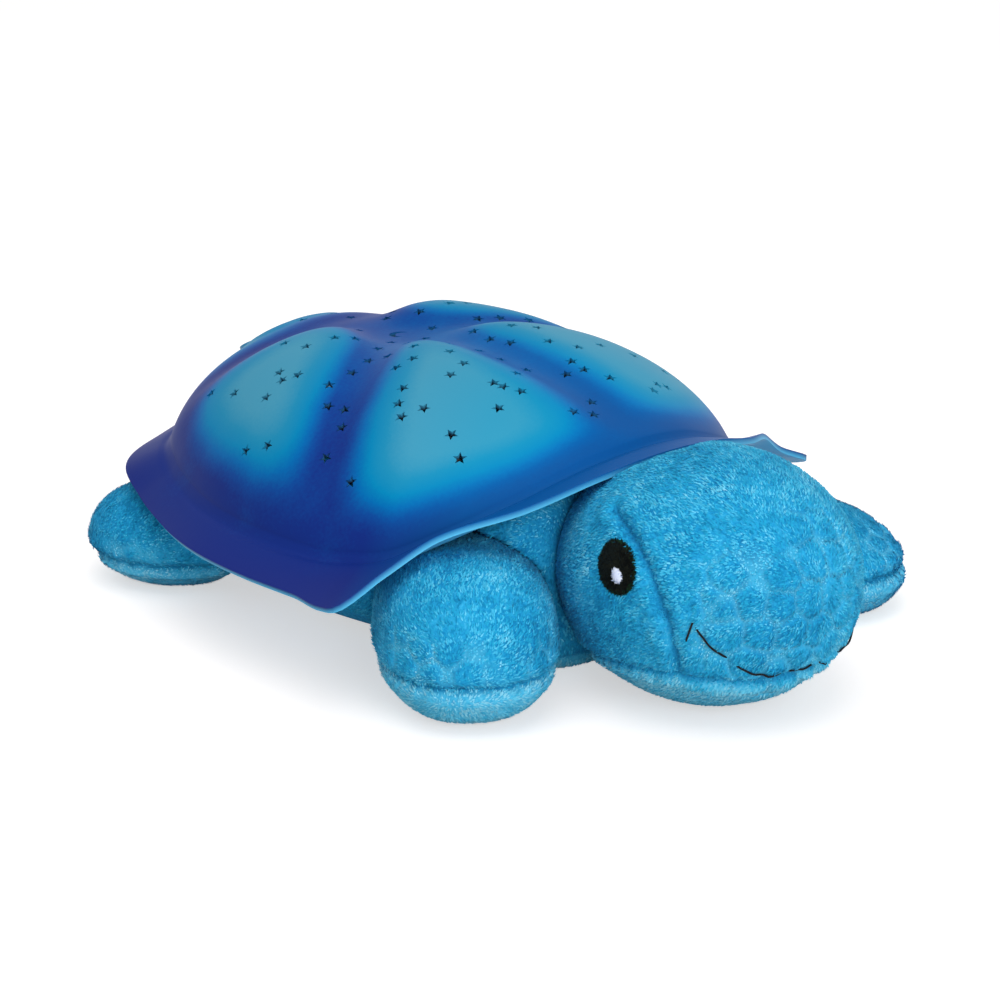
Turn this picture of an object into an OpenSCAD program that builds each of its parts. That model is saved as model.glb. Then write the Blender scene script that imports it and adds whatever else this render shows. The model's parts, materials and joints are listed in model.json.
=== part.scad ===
// Star night light: a stuffed turtle under a hard shell that is pierced with stars. A battery lamp inside
// throws the stars on the ceiling. Millimetres, +Z up, the head points along -Y. The origin is on the
// floor below the middle of the toy. A bearing is an angle seen from above: 0 at the head, 90 at the
// turtle's right side, 180 at the tail.

/* [Shell] */
// From the middle of the toy back to the middle of the shell
shell_y = 30; // [28:0.5:32]
// Height of the valleys where the dome is highest
dome_z = 91; // [88:0.5:93]
// How much higher each plate of the shell stands than the valleys
plate_rise = 5; // [3:0.5:6]
// Width of the valleys between the plates
valley_w = 22; // [18:1:26]
// Depth of the dimple where the valleys meet
dimple_depth = 4; // [2:0.5:5]
// Reach of the round blend between the dome and its brim
brim_blend = 7; // [5:1:9]
// Wall of the shell
shell_wall = 2; // [1.8:0.1:2.2]
// Number of places in the spiral of star holes
star_places = 118; // [90:1:122]
// From the centre of a star hole to its tips
star_r = 2.4; // [2.2:0.1:2.6]
// From the centre of a star hole to its inner corners
star_core_r = 1.05; // [0.9:0.05:1.2]
// Radius of the moon hole
moon_r = 3.4; // [3:0.1:3.8]

/* [Control panel in the rear of the shell] */
// From the middle of the shell back to the middle of the panel
panel_reach = 89; // [87:0.5:90]
// Height of the top of the collar round the panel
panel_z = 71.2; // [70.5:0.1:71.8]
// Slope of the panel
panel_tilt = 36; // [34:0.5:38]
// Depth of the panel along the slope
panel_d = 22; // [21.6:0.2:24]
// How far the panel's face stands out of its collar
panel_proud = 0.8; // [0.5:0.1:1]
// Diameter of a button
button_d = 7; // [6.4:0.1:7.2]
// Distance between the three colour buttons
button_pitch = 11; // [10.6:0.1:11.2]
// From the outer buttons to the sides of the panel
panel_side = 2.5; // [2.4:0.1:3.4]
// Distance between the power button and the row of colour buttons
button_row_pitch = 9.5; // [9.2:0.1:9.8]
// How far a button stands out of the panel
button_proud = 1.6; // [1.4:0.1:2]
// How far a button goes down
button_travel = 0.8; // [0.6:0.1:0.9]

/* [Lamp tray and clamp ring] */
// From the middle of the toy back to the middle of the lamp
lamp_y = 40; // [39.5:0.5:40.5]
// Outside radius of the tray
tray_r = 52; // [51.5:0.5:53]
// Wall and floor of the tray
tray_wall = 2; // [1.8:0.1:2.2]
// Outside radius of the tray's flange and of the clamp ring
flange_r = 68; // [67.5:0.5:68.5]
// Height of the top of the flange
flange_z = 34; // [33.5:0.5:34.5]
// Thickness of the flange
flange_t = 2.4; // [2.2:0.1:2.6]
// Thickness of the plush collar between the flange and the clamp ring
collar_t = 1.6; // [1.4:0.1:1.8]
// Thickness of the clamp ring
ring_t = 4; // [3.6:0.1:4.2]
// Number of screws that hold the shell
shell_screws_n = 6; // [6:1:6]
// Radius of the circle of the shell's screws
shell_screw_pcd_r = 61; // [60.8:0.1:61.5]
// Diameter of a shell screw
shell_screw_d = 2.9; // [2.6:0.1:3]
// Outside radius of the posts inside the shell
post_r = 3.8; // [3.4:0.1:3.9]

/* [Battery box] */
// Height of the underside of the battery box above the floor
box_z = 8; // [7.8:0.1:8.4]
// Diameter of a cell
cell_d = 10.5; // [10.2:0.1:10.5]
// Length of a cell with its button
cell_l = 44.5; // [43.5:0.1:44.5]
// Gap between two cells
cell_gap = 0.6; // [0.4:0.1:0.8]
// Room beyond a cell for the contacts of both ends
contact_room = 7.5; // [7:0.1:8]
// Wall of the battery box
box_wall = 3; // [2.8:0.1:3.2]
// Ledge that the door lies against
door_ledge = 1.2; // [1:0.1:1.4]
// Thickness of the battery door
door_t = 2; // [1.9:0.1:2.2]
// From the middle of the door to each of its two screws
door_screw_x = 33.5; // [33.3:0.1:34]

/* [Lamp board] */
// Width of the lamp board
board_w = 60; // [58:1:62]
// Depth of the lamp board
board_d = 42; // [40:1:43]
// Height of the top face of the lamp board
board_z = 28.6; // [28.4:0.1:28.8]
// Thickness of both circuit boards
board_t = 1.6; // [1.5:0.1:1.7]
// Thickness of the light deck over the board
deck_t = 1.4; // [1.2:0.1:1.6]
// Outside radius of the light deck
deck_r = 56.4; // [55.5:0.1:56.5]
// Diameter of an LED
led_d = 5; // [4.9:0.1:5.1]
// Height of the top of the LEDs
led_top_z = 47; // [46:0.5:50]
// Distance from the middle of the lamp to each LED
led_pitch_r = 4.2; // [4:0.1:4.6]

/* [Plush body] */
// From the middle of the toy forward to the middle of the head
head_y = 90.5; // [89.5:0.5:91.5]
// Height of the middle of the head
head_z = 40.3; // [40:0.1:40.5]
// Length of the head
head_l = 101; // [99:0.5:103]
// Width of the head
head_w = 91; // [89:0.5:93]
// Height of the head, before the floor flattens it
head_h = 81; // [80.8:0.1:82]
// Length of the body
body_l = 176; // [174:1:178]
// Width of the body
body_w = 146; // [145:1:148]
// Length of the front flippers
front_flipper_l = 84; // [80:1:88]
// Width of the front flippers
front_flipper_w = 56; // [54:1:58]
// Length of the rear flippers
rear_flipper_l = 66; // [62:1:70]
// Width of the rear flippers
rear_flipper_w = 46; // [44:1:48]
// Height of an eye
eye_h = 17.6; // [16:0.2:19]
// Width of an eye
eye_w = 14; // [13:0.2:15]

/* [Fits] */
// Gap between a soft piece and what it lies against
soft_gap = 0.3; // [0.25:0.05:0.35]
// Gap between hard pieces that lie side by side
part_gap = 0.3; // [0.25:0.05:0.35]
// Radial running gap of a button and of a switch plunger
run_gap = 0.08; // [0.06:0.01:0.1]
// How much wider the holes in the shell's posts are than their screws
thread_gap = 0.1; // [0.08:0.01:0.14]

/* [Hidden] */
$fn = 64;
tiny = 0.01;    // lets a cutter pass through a face
through = 200;  // longer than anything it cuts

// ==== Shell ====================================================================================
// Stations round the shell: bearing, reach of the brim's edge, height of the edge, reach of the
// dome's foot, height of the foot. The other side mirrors them.
STATIONS = [
    [0, 101, 76, 88, 75],
    [15, 101, 73, 88, 72],
    [30, 103, 66, 90, 64],
    [45, 105, 58.5, 93, 54],
    [54, 113, 48, 95, 48],
    [59, 124.5, 41, 94, 46],
    [63, 119.5, 38, 93, 45],
    [70, 110, 37, 91, 44],
    [84, 103, 36, 88, 44],
    [100, 101, 36, 87, 44],
    [117, 101.5, 36, 89, 45],
    [130, 106, 37, 93, 47],
    [140, 113, 40, 97, 49],
    [147, 114.5, 41, 99, 49],
    [157, 112, 42.5, 101, 49],
    [168, 111, 44.5, 102, 49],
    [180, 111, 46, 103, 49]
];
dome_power = 2.3;       // higher is flatter on top
front_fullness = 0.70;  // lower is steeper at the foot
rear_fullness = 0.56;
front_fork = [0, 25];   // where the side valleys leave the spine, from the middle of the shell
rear_fork = [0, 51];    // where the rear valleys leave it
side_valley_bearing = 72;
rear_valley_bearing = 140;

// A smooth curve through the stations
function folded(b) = abs(b > 180 ? b - 360 : b);
function station(b, i = 0) =
    i >= len(STATIONS) - 2 || STATIONS[i + 1][0] > b ? i : station(b, i + 1);
function station_slope(i, k) =
    i == 0 || i == len(STATIONS) - 1 ? 0
    : (STATIONS[i + 1][k] - STATIONS[i - 1][k]) / (STATIONS[i + 1][0] - STATIONS[i - 1][0]);
function smooth(b, k) =
    let (i = station(b), a = STATIONS[i], c = STATIONS[i + 1], w = c[0] - a[0], t = (b - a[0]) / w)
    (2 * t ^ 3 - 3 * t ^ 2 + 1) * a[k] + (t ^ 3 - 2 * t ^ 2 + t) * w * station_slope(i, k)
    + (3 * t ^ 2 - 2 * t ^ 3) * c[k] + (t ^ 3 - t ^ 2) * w * station_slope(i + 1, k);
function edge_r(b) = smooth(folded(b), 1);
function edge_z(b) = smooth(folded(b), 2);
function foot_r(b) = smooth(folded(b), 3);
function foot_z(b) = smooth(folded(b), 4);

function bearing(p) = let (b = atan2(-p.x, -p.y)) b < 0 ? b + 360 : b;
function at_bearing(b, r) = [-r * sin(b), -r * cos(b)];
function foot(b) = at_bearing(b, foot_r(b));
VALLEYS = [
    [front_fork, foot(0)],
    [front_fork, rear_fork],
    [front_fork, foot(side_valley_bearing)],
    [front_fork, foot(-side_valley_bearing)],
    [rear_fork, foot(rear_valley_bearing)],
    [rear_fork, foot(-rear_valley_bearing)]
];
function from_line(p, a, c) = norm(p - a - max(0, min(1, (p - a) * (c - a) / ((c - a) * (c - a)))) * (c - a));
function on_plate(p, k = 0) =
    k == len(VALLEYS) ? 1
    : (1 - exp(-(2 * from_line(p, VALLEYS[k][0], VALLEYS[k][1]) / valley_w) ^ 2)) * on_plate(p, k + 1);
function soft_max(a, c, k) = max(a, c) + max(k - abs(a - c), 0) ^ 2 / (4 * k);
function fullness(b) = (front_fullness + rear_fullness) / 2 + (front_fullness - rear_fullness) / 2 * cos(b);
function dome_height(p) =
    let (b = bearing(p), s = norm(p) / foot_r(b), fall = dome_z - foot_z(b))
    s < 1 ? dome_z - fall * (1 - (1 - s ^ dome_power) ^ fullness(b))
        + plate_rise * on_plate(p) * (1 - s ^ 4)
        - dimple_depth * exp(-(norm(p - front_fork) / valley_w) ^ 2)
    : foot_z(b) - 2.5 * (s - 1) * foot_r(b);
function brim_height(p) =
    let (b = bearing(p), f = foot_r(b), e = edge_r(b))
    edge_z(b) + (foot_z(b) - edge_z(b)) * min(e - norm(p), e - f) / (e - f);

function shell_height(p) = soft_max(dome_height(p), brim_height(p), brim_blend);
function on_shell(p) = [p.x, p.y, shell_height(p)];
function normal(p, d = 0.5) =
    let (v = cross(on_shell(p + [d, 0]) - on_shell(p - [d, 0]), on_shell(p + [0, d]) - on_shell(p - [0, d])))
    v / norm(v);

// A grid on the shell: rows from the crown out, points by bearing, half as many near the crown
columns = 64;
cap_rows = 5;
dome_rows = 10;
brim_rows = 4;
rows = dome_rows + brim_rows;
function row_n(i) = i > rows ? 1 : i <= cap_rows ? columns / 2 : columns;
function row_start(i) = i <= cap_rows ? (i - 1) * columns / 2 : (i - 1 - cap_rows / 2) * columns;
function row_r(b, i) =
    i > rows ? 0
    : i <= dome_rows ? foot_r(b) * sin(90 * i / dome_rows)
    : foot_r(b) + (edge_r(b) - foot_r(b)) * (i - dome_rows) / brim_rows;
function grid(depth = 0, lift = 0, overhang = 0) = [
    for (i = [1:rows + 1], j = [0:row_n(i) - 1])
        let (b = 360 * j / row_n(i), r = row_r(b, i) + (i == rows ? overhang : 0),
            p = at_bearing(b, r), q = at_bearing(b, min(r, edge_r(b))))
        on_shell(q) + [p.x - q.x, p.y - q.y, lift] - depth * normal(q)];
function strip(i) =
    let (m = row_n(i), n = row_n(i + 1), a = row_start(i), b = row_start(i + 1))
    [for (j = [0:m - 1]) let (k = (j + 1) % m) each m == n
        ? [[a + j, b + k, a + k], [a + j, b + j, b + k]]
        : [[a + j, b + 2 * j, b + 2 * j + 1], [a + j, b + 2 * j + 1, a + k],
            [a + k, b + 2 * j + 1, b + (2 * j + 2) % n]]];
module between(top, bottom) {
    crown = row_start(rows + 1);
    under = crown + 1;
    edge = row_start(rows);
    skin = concat([for (i = [1:rows - 1]) each strip(i)],
        [for (j = [0:row_n(1) - 1]) [crown, j, (j + 1) % row_n(1)]]);
    polyhedron(concat(top, bottom), concat(skin,
        [for (t = skin) [under + t[0], under + t[2], under + t[1]]],
        [for (j = [0:columns - 1]) let (k = (j + 1) % columns)
            each [[edge + j, under + edge + k, edge + k], [edge + j, under + edge + j, under + edge + k]]]
    ));
}
module at_shell() translate([0, shell_y, 0]) children();
// Everything under the shell's skin, and the room that the shell takes from the plush
module under_shell(depth) {
    top = grid(depth);
    between(top, [for (p = top) [p.x, p.y, -1]]);
}
module shell_room() between(grid(0, 12, 1), grid(shell_wall + soft_gap, 0, 1));

// Keeps a fine pattern as one mesh
module as_mesh() resize([0, 0, 0]) children();
module square_to_shell(p) {
    n = normal(p);
    translate(on_shell(p)) rotate([0, acos(n.z), atan2(n.y, n.x)]) children();
}

// Star holes: a sunflower spiral with a little unrest, without the places that other things take
star_field = 0.86;      // share of the dome's reach that carries stars
star_crowding = 0.56;   // higher crowds the stars towards the crown
golden_angle = 137.508;
moon_place = front_fork + [1, 3];
moon_turn = 200;
function star_place(i) =
    let (b = (i * golden_angle + 9 * sin(77 * i)) % 360)
    at_bearing(b, star_field * foot_r(b) * ((i + 0.5) / star_places) ^ star_crowding
        * (1 + 0.05 * sin(131 * i)));
function is_free(p) =
    norm(p - moon_place) > moon_r + 2 * star_r
    && max(abs(p.x) - panel_w / 2, abs(p.y - panel_reach) - panel_d / 2) > collar_wall + part_gap + star_r
    && min([for (k = [0:shell_screws_n - 1]) norm(p + [0, shell_y - lamp_y] - post_at(k))]) > post_r + star_r;
module star_shape() polygon([for (k = [0:9])
    let (r = k % 2 == 0 ? star_r : star_core_r) [r * cos(36 * k), r * sin(36 * k)]]);
module moon_shape(r) difference() {
    circle(r, $fn = 24);
    translate([0.42 * r, 0]) circle(0.8 * r, $fn = 24);
}

function post_at(k) = let (b = 30 + 360 / shell_screws_n * k) at_bearing(b, shell_screw_pcd_r);
module at_posts() for (k = [0:shell_screws_n - 1])
    translate([post_at(k).x, lamp_y + post_at(k).y, 0]) children();

module shell() color("#0c7fbe") as_mesh() {
    difference() {
        union() {
            at_shell() between(grid(0), grid(shell_wall));
            at_panel() translate([0, 0, -collar_h]) linear_extrude(collar_h)
                panel_outline(part_gap + collar_wall);
        }
        at_shell() {
            for (i = [2:star_places - 1]) if (is_free(star_place(i))) square_to_shell(star_place(i))
                rotate(47 * i) linear_extrude(4 * shell_wall, center = true) star_shape();
            square_to_shell(moon_place) rotate(moon_turn)
                linear_extrude(4 * shell_wall, center = true) moon_shape(moon_r);
        }
        panel_seat();
    }
    intersection() {
        at_posts() difference() {
            translate([0, 0, flange_z]) cylinder(r = post_r, h = through, $fn = 24);
            translate([0, 0, flange_z - 1])
                cylinder(d = shell_screw_d + thread_gap, h = 1 + shell_screw_grip, $fn = 16);
        }
        at_shell() under_shell(shell_wall / 2);
    }
}

// ==== Control panel ============================================================================
panel_w = 2 * (button_pitch + panel_side) + button_d;
panel_corner = 7;
collar_wall = 1.6;
collar_h = 9;           // deep enough to meet the shell all round
ledge_z = -2;           // the panel lies on this ledge of its collar
ledge = 1.2;
lip = 0.8;              // rim that keeps a button in the panel
lip_t = 1;
switch_w = 6;
switch_h = 3.5;
plunger_d = 3.5;
plunger_out = 1.5;      // how far a plunger stands out of its switch
plunger_in = 2;
lip_z = ledge_z - lip_t;                        // where a plunger meets its button
switch_z = lip_z - plunger_out;                 // top of the switch bodies
switch_board_z = switch_z - switch_h;           // top of the switch board
panel_screw_at = [10.5, -5];
panel_post_r = 2.2;
small_screw_d = 1.7;
small_head_d = 3.4;
small_head_t = 1.2;
panel_screw_l = 6;
deck_screw_l = 5.5;
POWER = [0, -button_row_pitch / 2];
GREEN = [-button_pitch, button_row_pitch / 2];
BLUE = [0, button_row_pitch / 2];
AMBER = [button_pitch, button_row_pitch / 2];
BUTTONS = [POWER, GREEN, BLUE, AMBER];

module at_panel() translate([0, shell_y + panel_reach, panel_z]) rotate([-panel_tilt, 0, 0]) children();
module panel_outline(g) {
    w = panel_w + 2 * g;
    d = panel_d + 2 * g;
    r = panel_corner + g;
    square([w - 2 * r, d], center = true);
    square([w, d - 2 * r], center = true);
    for (x = [-1, 1], y = [-1, 1]) translate([x * (w / 2 - r), y * (d / 2 - r)]) circle(r);
}
module panel_seat() at_panel() {
    translate([0, 0, ledge_z]) linear_extrude(through / 10) panel_outline(part_gap);
    translate([0, 0, -collar_h - 3]) linear_extrude(through / 10) panel_outline(-ledge);
}
module at_panel_screws(z) for (x = [-1, 1]) translate([x * panel_screw_at.x, panel_screw_at.y, z]) children();
module panel() color("#1d6fb3") at_panel() difference() {
    union() {
        translate([0, 0, ledge_z]) linear_extrude(panel_proud - ledge_z) panel_outline(0);
        at_panel_screws(switch_board_z) cylinder(r = panel_post_r, h = ledge_z - switch_board_z + tiny);
    }
    for (b = BUTTONS) translate([b.x, b.y, ledge_z - 1])
        cylinder(r = button_d / 2 + run_gap, h = through / 10);
    at_panel_screws(switch_board_z - 1) cylinder(d = small_screw_d, h = panel_screw_l + 1);
}
module button(at, tint) color(tint) at_panel() translate([at.x, at.y, 0]) difference() {
    union() {
        translate([0, 0, lip_z]) cylinder(d = button_d, h = panel_proud + button_proud - lip_z);
        translate([0, 0, lip_z]) cylinder(d = button_d + 2 * lip, h = lip_t);
    }
    translate([0, 0, panel_proud + button_proud - 0.4]) linear_extrude(1) children();
}
module power_button() button(POWER, "#f2f2ee") moon_shape(button_d / 3.4);
module green_button() button(GREEN, "#3fae5a") star_shape();
module blue_button() button(BLUE, "#2f62c9") star_shape();
module amber_button() button(AMBER, "#e8a02c") star_shape();
module plunger(at) color("#2b2b2b") at_panel() translate([at.x, at.y, switch_z - plunger_in])
    cylinder(d = plunger_d, h = plunger_in + plunger_out);
module power_plunger() plunger(POWER);
module green_plunger() plunger(GREEN);
module blue_plunger() plunger(BLUE);
module amber_plunger() plunger(AMBER);
module switch_bodies() color("#3a3a3c") at_panel() for (b = BUTTONS) translate([b.x, b.y, switch_board_z])
    difference() {
        translate([-switch_w / 2, -switch_w / 2, 0]) cube([switch_w, switch_w, switch_h]);
        translate([0, 0, switch_h - plunger_in - button_travel - 0.1])
            cylinder(r = plunger_d / 2 + run_gap, h = switch_h);
    }
module switch_board() color("#1f6b3a") at_panel() translate([0, 0, switch_board_z - board_t]) difference() {
    linear_extrude(board_t) panel_outline(-ledge - part_gap);
    at_panel_screws(-1) cylinder(d = small_screw_d + 0.4, h = board_t + 2);
}
module small_screw(l) {
    cylinder(d = small_screw_d, h = l);
    translate([0, 0, -small_head_t]) difference() {
        cylinder(d = small_head_d, h = small_head_t);
        for (a = [0, 90]) rotate(a) cube([2, 0.5, 1.2], center = true);
    }
}
module switch_board_screws() color("#b8bcc0") at_panel() at_panel_screws(switch_board_z - board_t)
    small_screw(panel_screw_l);
plug_size = [9, 4, 5];
module switch_plug() color("#ece8dc") at_panel()
    translate([-plug_size.x / 2, 2 - plug_size.y / 2, switch_board_z - board_t - plug_size.z])
        cube(plug_size);

// ==== Lamp tray, clamp ring and their screws ===================================================
cells_w = 3 * cell_d + 4 * cell_gap;                   // room for three cells side by side
cells_l = cell_l + contact_room;
cell_z = box_z + door_t + part_gap + cell_d / 2;
dish_z = cell_z + cell_d / 2 + part_gap;               // underside of the tray's wide floor
dish_floor_z = dish_z + tray_wall;
ring_z = flange_z - flange_t - collar_t - ring_t;      // underside of the clamp ring
screw_head_d = 5.5;
screw_head_t = 2.2;
shell_screw_grip = 9;                                  // length of screw in a shell post
board_post_at = [24, 15];
deck_post_r = 46;
deck_posts_n = 3;
tab_size = [0.4, 3];                                   // soldered tabs of the battery contacts
tab_y = 9.5;
insert_r = 2.2;
door_screw_d = 2.5;
door_head_d = 5;
door_head_t = 1.2;
door_boss_r = 4.5;
door_ear_r = 3.8;
insert_l = 5;

module at_lamp(z = 0) translate([0, lamp_y, z]) children();
module at_board_posts(z) at_lamp(z) for (x = [-1, 1], y = [-1, 1]) translate([x * board_post_at.x, y * board_post_at.y]) children();
module at_deck_posts(z) at_lamp(z) for (k = [0:deck_posts_n - 1])
    translate(concat(at_bearing(360 / deck_posts_n * k, deck_post_r), 0)) children();
module at_door_screws(z) at_lamp(z) for (x = [-1, 1]) translate([x * door_screw_x, 0]) children();
module at_tabs(z) at_lamp(z) for (x = [-1, 1]) translate([x * (cells_l - tab_size.x) / 2, -tab_y]) children();
// Outline of the battery door and of whatever follows it, grown by g
module door_outline(g) {
    square([cells_l + 2 * (door_ledge + g), cells_w + 2 * (door_ledge + g)], center = true);
    square([2 * door_screw_x, 2 * (door_ear_r + g)], center = true);
    for (x = [-1, 1]) translate([x * door_screw_x, 0]) circle(door_ear_r + g);
}
module box_outline(g) {
    square([cells_l + 2 * (box_wall + g), cells_w + 2 * (box_wall + g)], center = true);
    square([2 * door_screw_x, 2 * (door_boss_r + g)], center = true);
    for (x = [-1, 1]) translate([x * door_screw_x, 0]) circle(door_boss_r + g);
}
module tray() color("#e9ecef") difference() {
    union() {
        at_lamp(dish_z) cylinder(r = tray_r, h = flange_z - dish_z);
        at_lamp(flange_z - flange_t) cylinder(r = flange_r, h = flange_t);
        at_lamp(box_z) linear_extrude(dish_z - box_z + tiny) box_outline(0);
    }
    difference() {
        at_lamp(dish_floor_z) cylinder(r = tray_r - tray_wall, h = through);
        at_board_posts(dish_floor_z - tiny) cylinder(r = 3, h = board_z - board_t - dish_floor_z + tiny);
        at_deck_posts(dish_floor_z - tiny) cylinder(r = 2.8, h = flange_z - dish_floor_z + tiny);
    }
    at_lamp(box_z - 1) linear_extrude(dish_z - box_z + 1) square([cells_l, cells_w], center = true);
    at_lamp(box_z - 1) linear_extrude(door_t + 1) door_outline(part_gap);
    at_door_screws(box_z) cylinder(r = insert_r, h = door_t + insert_l);
    at_board_posts(board_z - board_t - 4.4) cylinder(d = small_screw_d, h = 10);
    at_deck_posts(flange_z - 5) cylinder(d = small_screw_d, h = 10);
    at_posts() translate([0, 0, flange_z - 5]) cylinder(d = shell_screw_d + 0.4, h = 10);
    at_tabs(0) translate([-tab_size.x / 2 - 0.1, -tab_size.y / 2 - 0.2, dish_z - 1])
        cube([tab_size.x + 0.2, tab_size.y + 0.4, 5]);
}
module door_inserts() color("#c9a24a") at_door_screws(box_z + door_t) difference() {
    cylinder(r = insert_r, h = insert_l);
    translate([0, 0, -1]) cylinder(d = door_screw_d + 0.1, h = insert_l + 2);
}
module clamp_ring() color("#d8dce0") difference() {
    at_lamp(ring_z) cylinder(r = flange_r, h = ring_t);
    at_lamp(ring_z - 1) cylinder(r = tray_r + part_gap, h = ring_t + 2);
    at_posts() translate([0, 0, ring_z - 1]) {
        cylinder(d = shell_screw_d + 0.4, h = ring_t + 2);
        cylinder(d = screw_head_d + 2 * part_gap, h = 1 + screw_head_t);
    }
}
module shell_screws() color("#9a9ea3") at_posts() translate([0, 0, ring_z]) difference() {
    union() {
        cylinder(d = screw_head_d, h = screw_head_t);
        cylinder(d = shell_screw_d, h = flange_z - ring_z + shell_screw_grip - 1);
    }
    for (a = [0, 90]) rotate(a) cube([3.2, 0.7, 2], center = true);
}

// ==== Light deck, lamp board and what stands on it =============================================
led_flange_d = 5.8;
led_h = 8.6;
led_z = led_top_z - led_h;
led_pin = 0.5;
led_pin_gap = 2.54;
holder_r = 9;
cable_hole_y = 42;
cable_r = 1.25;
module light_deck() color("#f4f4f0") difference() {
    at_lamp(flange_z) cylinder(r = deck_r, h = deck_t);
    at_lamp(flange_z - 1) cylinder(r = holder_r + part_gap, h = deck_t + 2);
    at_deck_posts(flange_z - 1) cylinder(d = small_screw_d + 0.4, h = deck_t + 2);
    at_lamp(flange_z - 1) translate([0, cable_hole_y, 0]) cylinder(r = cable_r + 1, h = deck_t + 2);
}
module deck_screws() color("#b8bcc0") at_deck_posts(flange_z + deck_t) mirror([0, 0, 1]) small_screw(deck_screw_l);
module lamp_board() color("#1f6b3a") difference() {
    at_lamp(board_z - board_t) linear_extrude(board_t) square([board_w, board_d], center = true);
    at_board_posts(board_z - board_t - 1) cylinder(d = small_screw_d + 0.4, h = board_t + 2);
    at_tabs(board_z - board_t - 1) translate([-tab_size.x / 2 - 0.1, -tab_size.y / 2 - 0.2, 0])
        cube([tab_size.x + 0.2, tab_size.y + 0.4, board_t + 2]);
}
module lamp_board_screws() color("#b8bcc0") at_board_posts(board_z) mirror([0, 0, 1]) small_screw(deck_screw_l);
function led_at(k) = at_bearing(120 * k + 60, led_pitch_r);
module led_holder() color("#f4f4f0") difference() {
    at_lamp(board_z) cylinder(r = holder_r, h = led_z - board_z);
    for (k = [0:2], x = [-1, 1]) at_lamp(board_z - 1)
        translate([led_at(k).x + x * led_pin_gap / 2, led_at(k).y, 0]) cylinder(d = 0.9, h = through);
}
module led(k, tint) color(tint) at_lamp(led_z) translate([led_at(k).x, led_at(k).y, 0]) {
    cylinder(d = led_flange_d, h = 1);
    cylinder(d = led_d, h = led_h - led_d / 2);
    translate([0, 0, led_h - led_d / 2]) sphere(d = led_d);
    for (x = [-1, 1]) translate([x * led_pin_gap / 2 - led_pin / 2, -led_pin / 2, board_z - led_z])
        cube([led_pin, led_pin, led_z - board_z + tiny]);
}
module green_led() led(0, "#7be08a");
module blue_led() led(1, "#6f9bff");
module amber_led() led(2, "#ffbf5a");
module on_board(x, y) at_lamp(board_z) translate([x, y, 0]) children();
module timer_chip() color("#222224") on_board(-16, 0) {
    translate([-3, -4, 0.2]) cube([6, 8, 1.8]);
    for (k = [0:3], x = [-1, 1]) translate([x * 3.6 - 0.6, 1.9 * k - 3.1, 0]) cube([1.2, 0.6, 1.2]);
}
module resistors() color("#2c2f33") for (k = [0:5]) on_board(-12 + 4 * k, -17) translate([-0.8, -1.6, 0]) cube([1.6, 3.2, 0.6]);
module transistors() color("#26282b") for (k = [0:2]) on_board(15, -6 + 6 * k) translate([-1.5, -1, 0]) cube([3, 2, 1.1]);
module capacitor() color("#c7ccd1") on_board(20, 6) cylinder(d = 6.3, h = 5);
lamp_plug_y = 17.5;
module lamp_plug() color("#ece8dc") on_board(0, lamp_plug_y) translate([-4.5, -2, 0]) cube([9, 4, 4]);

// A round tube through hand-placed points, closed at both ends
function along(points, t) =
    let (i = min(floor(t), len(points) - 2), u = t - i, a = points[max(i - 1, 0)], b = points[i],
        c = points[i + 1], d = points[min(i + 2, len(points) - 1)])
    0.5 * (2 * b + (c - a) * u + (2 * a - 5 * b + 4 * c - d) * u ^ 2 + (3 * b - a - 3 * c + d) * u ^ 3);
module tube(points, r, sides, across) {
    n = len(points);
    faces_of = [for (i = [0:n - 2], j = [0:sides - 1]) let (k = (j + 1) % sides, a = i * sides, b = a + sides)
        each [[a + j, b + k, b + j], [a + j, a + k, b + k]]];
    rings = [for (i = [0:n - 1])
        let (t = points[min(i + 1, n - 1)] - points[max(i - 1, 0)], w = t / norm(t),
            u0 = cross(across, w), u = u0 / norm(u0), v = cross(u, w))
        each [for (j = [0:sides - 1]) points[i] + r * (cos(360 * j / sides) * u + sin(360 * j / sides) * v)]];
    polyhedron(rings, concat(faces_of, [[for (j = [0:sides - 1]) sides - 1 - j]],
        [[for (j = [0:sides - 1]) (n - 1) * sides + j]]));
}
CABLE = [
    [0, 59.52, 30.6], [0, 63, 30.7], [0, 70, 31], [0, 77, 31.4], [0, 81.5, 34.5], [0, 82.5, 39],
    [0, 85, 43.5], [0, 90.5, 47.5], [0, 97, 49.5], [0, 103.5, 50.7], [0, 109, 54], [0, 112.03, 58.18]
];
module switch_cable() color("#3b3f46")
    tube([for (k = [0:2 * (len(CABLE) - 1)]) along(CABLE, k / 2)], cable_r, 8, [1, 0, 0]);

// ==== Cells, contacts and door =================================================================
nub_d = 3.8;
nub_l = 1.1;
plate_t = 0.4;
wire_r = 0.35;
spring_turns = 3;
spring_steps = 10;
cell_pitch = cell_d + cell_gap;
nub_x = cells_l / 2 - plate_t;                       // a cell's button lies against its contact plate
spring_from = nub_x;
spring_to = cell_l - nub_x;                          // the flat end of a cell
module cell(row, way) color("#8c9096") at_lamp(cell_z) translate([0, row * cell_pitch, 0]) mirror([way < 0 ? 1 : 0, 0, 0])
    rotate([0, 90, 0]) {
        translate([0, 0, -spring_to]) cylinder(d = cell_d, h = cell_l - nub_l);
        translate([0, 0, nub_x - nub_l - tiny]) cylinder(d = nub_d, h = nub_l + tiny);
    }
module left_cell() cell(1, -1);
module middle_cell() cell(0, 1);
module right_cell() cell(-1, -1);
module plate(x, y, w) at_lamp(cell_z) translate([x * (cells_l - plate_t) / 2 - plate_t / 2, y * cell_pitch - w / 2, -4.5])
    cube([plate_t, w, 9]);
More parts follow.
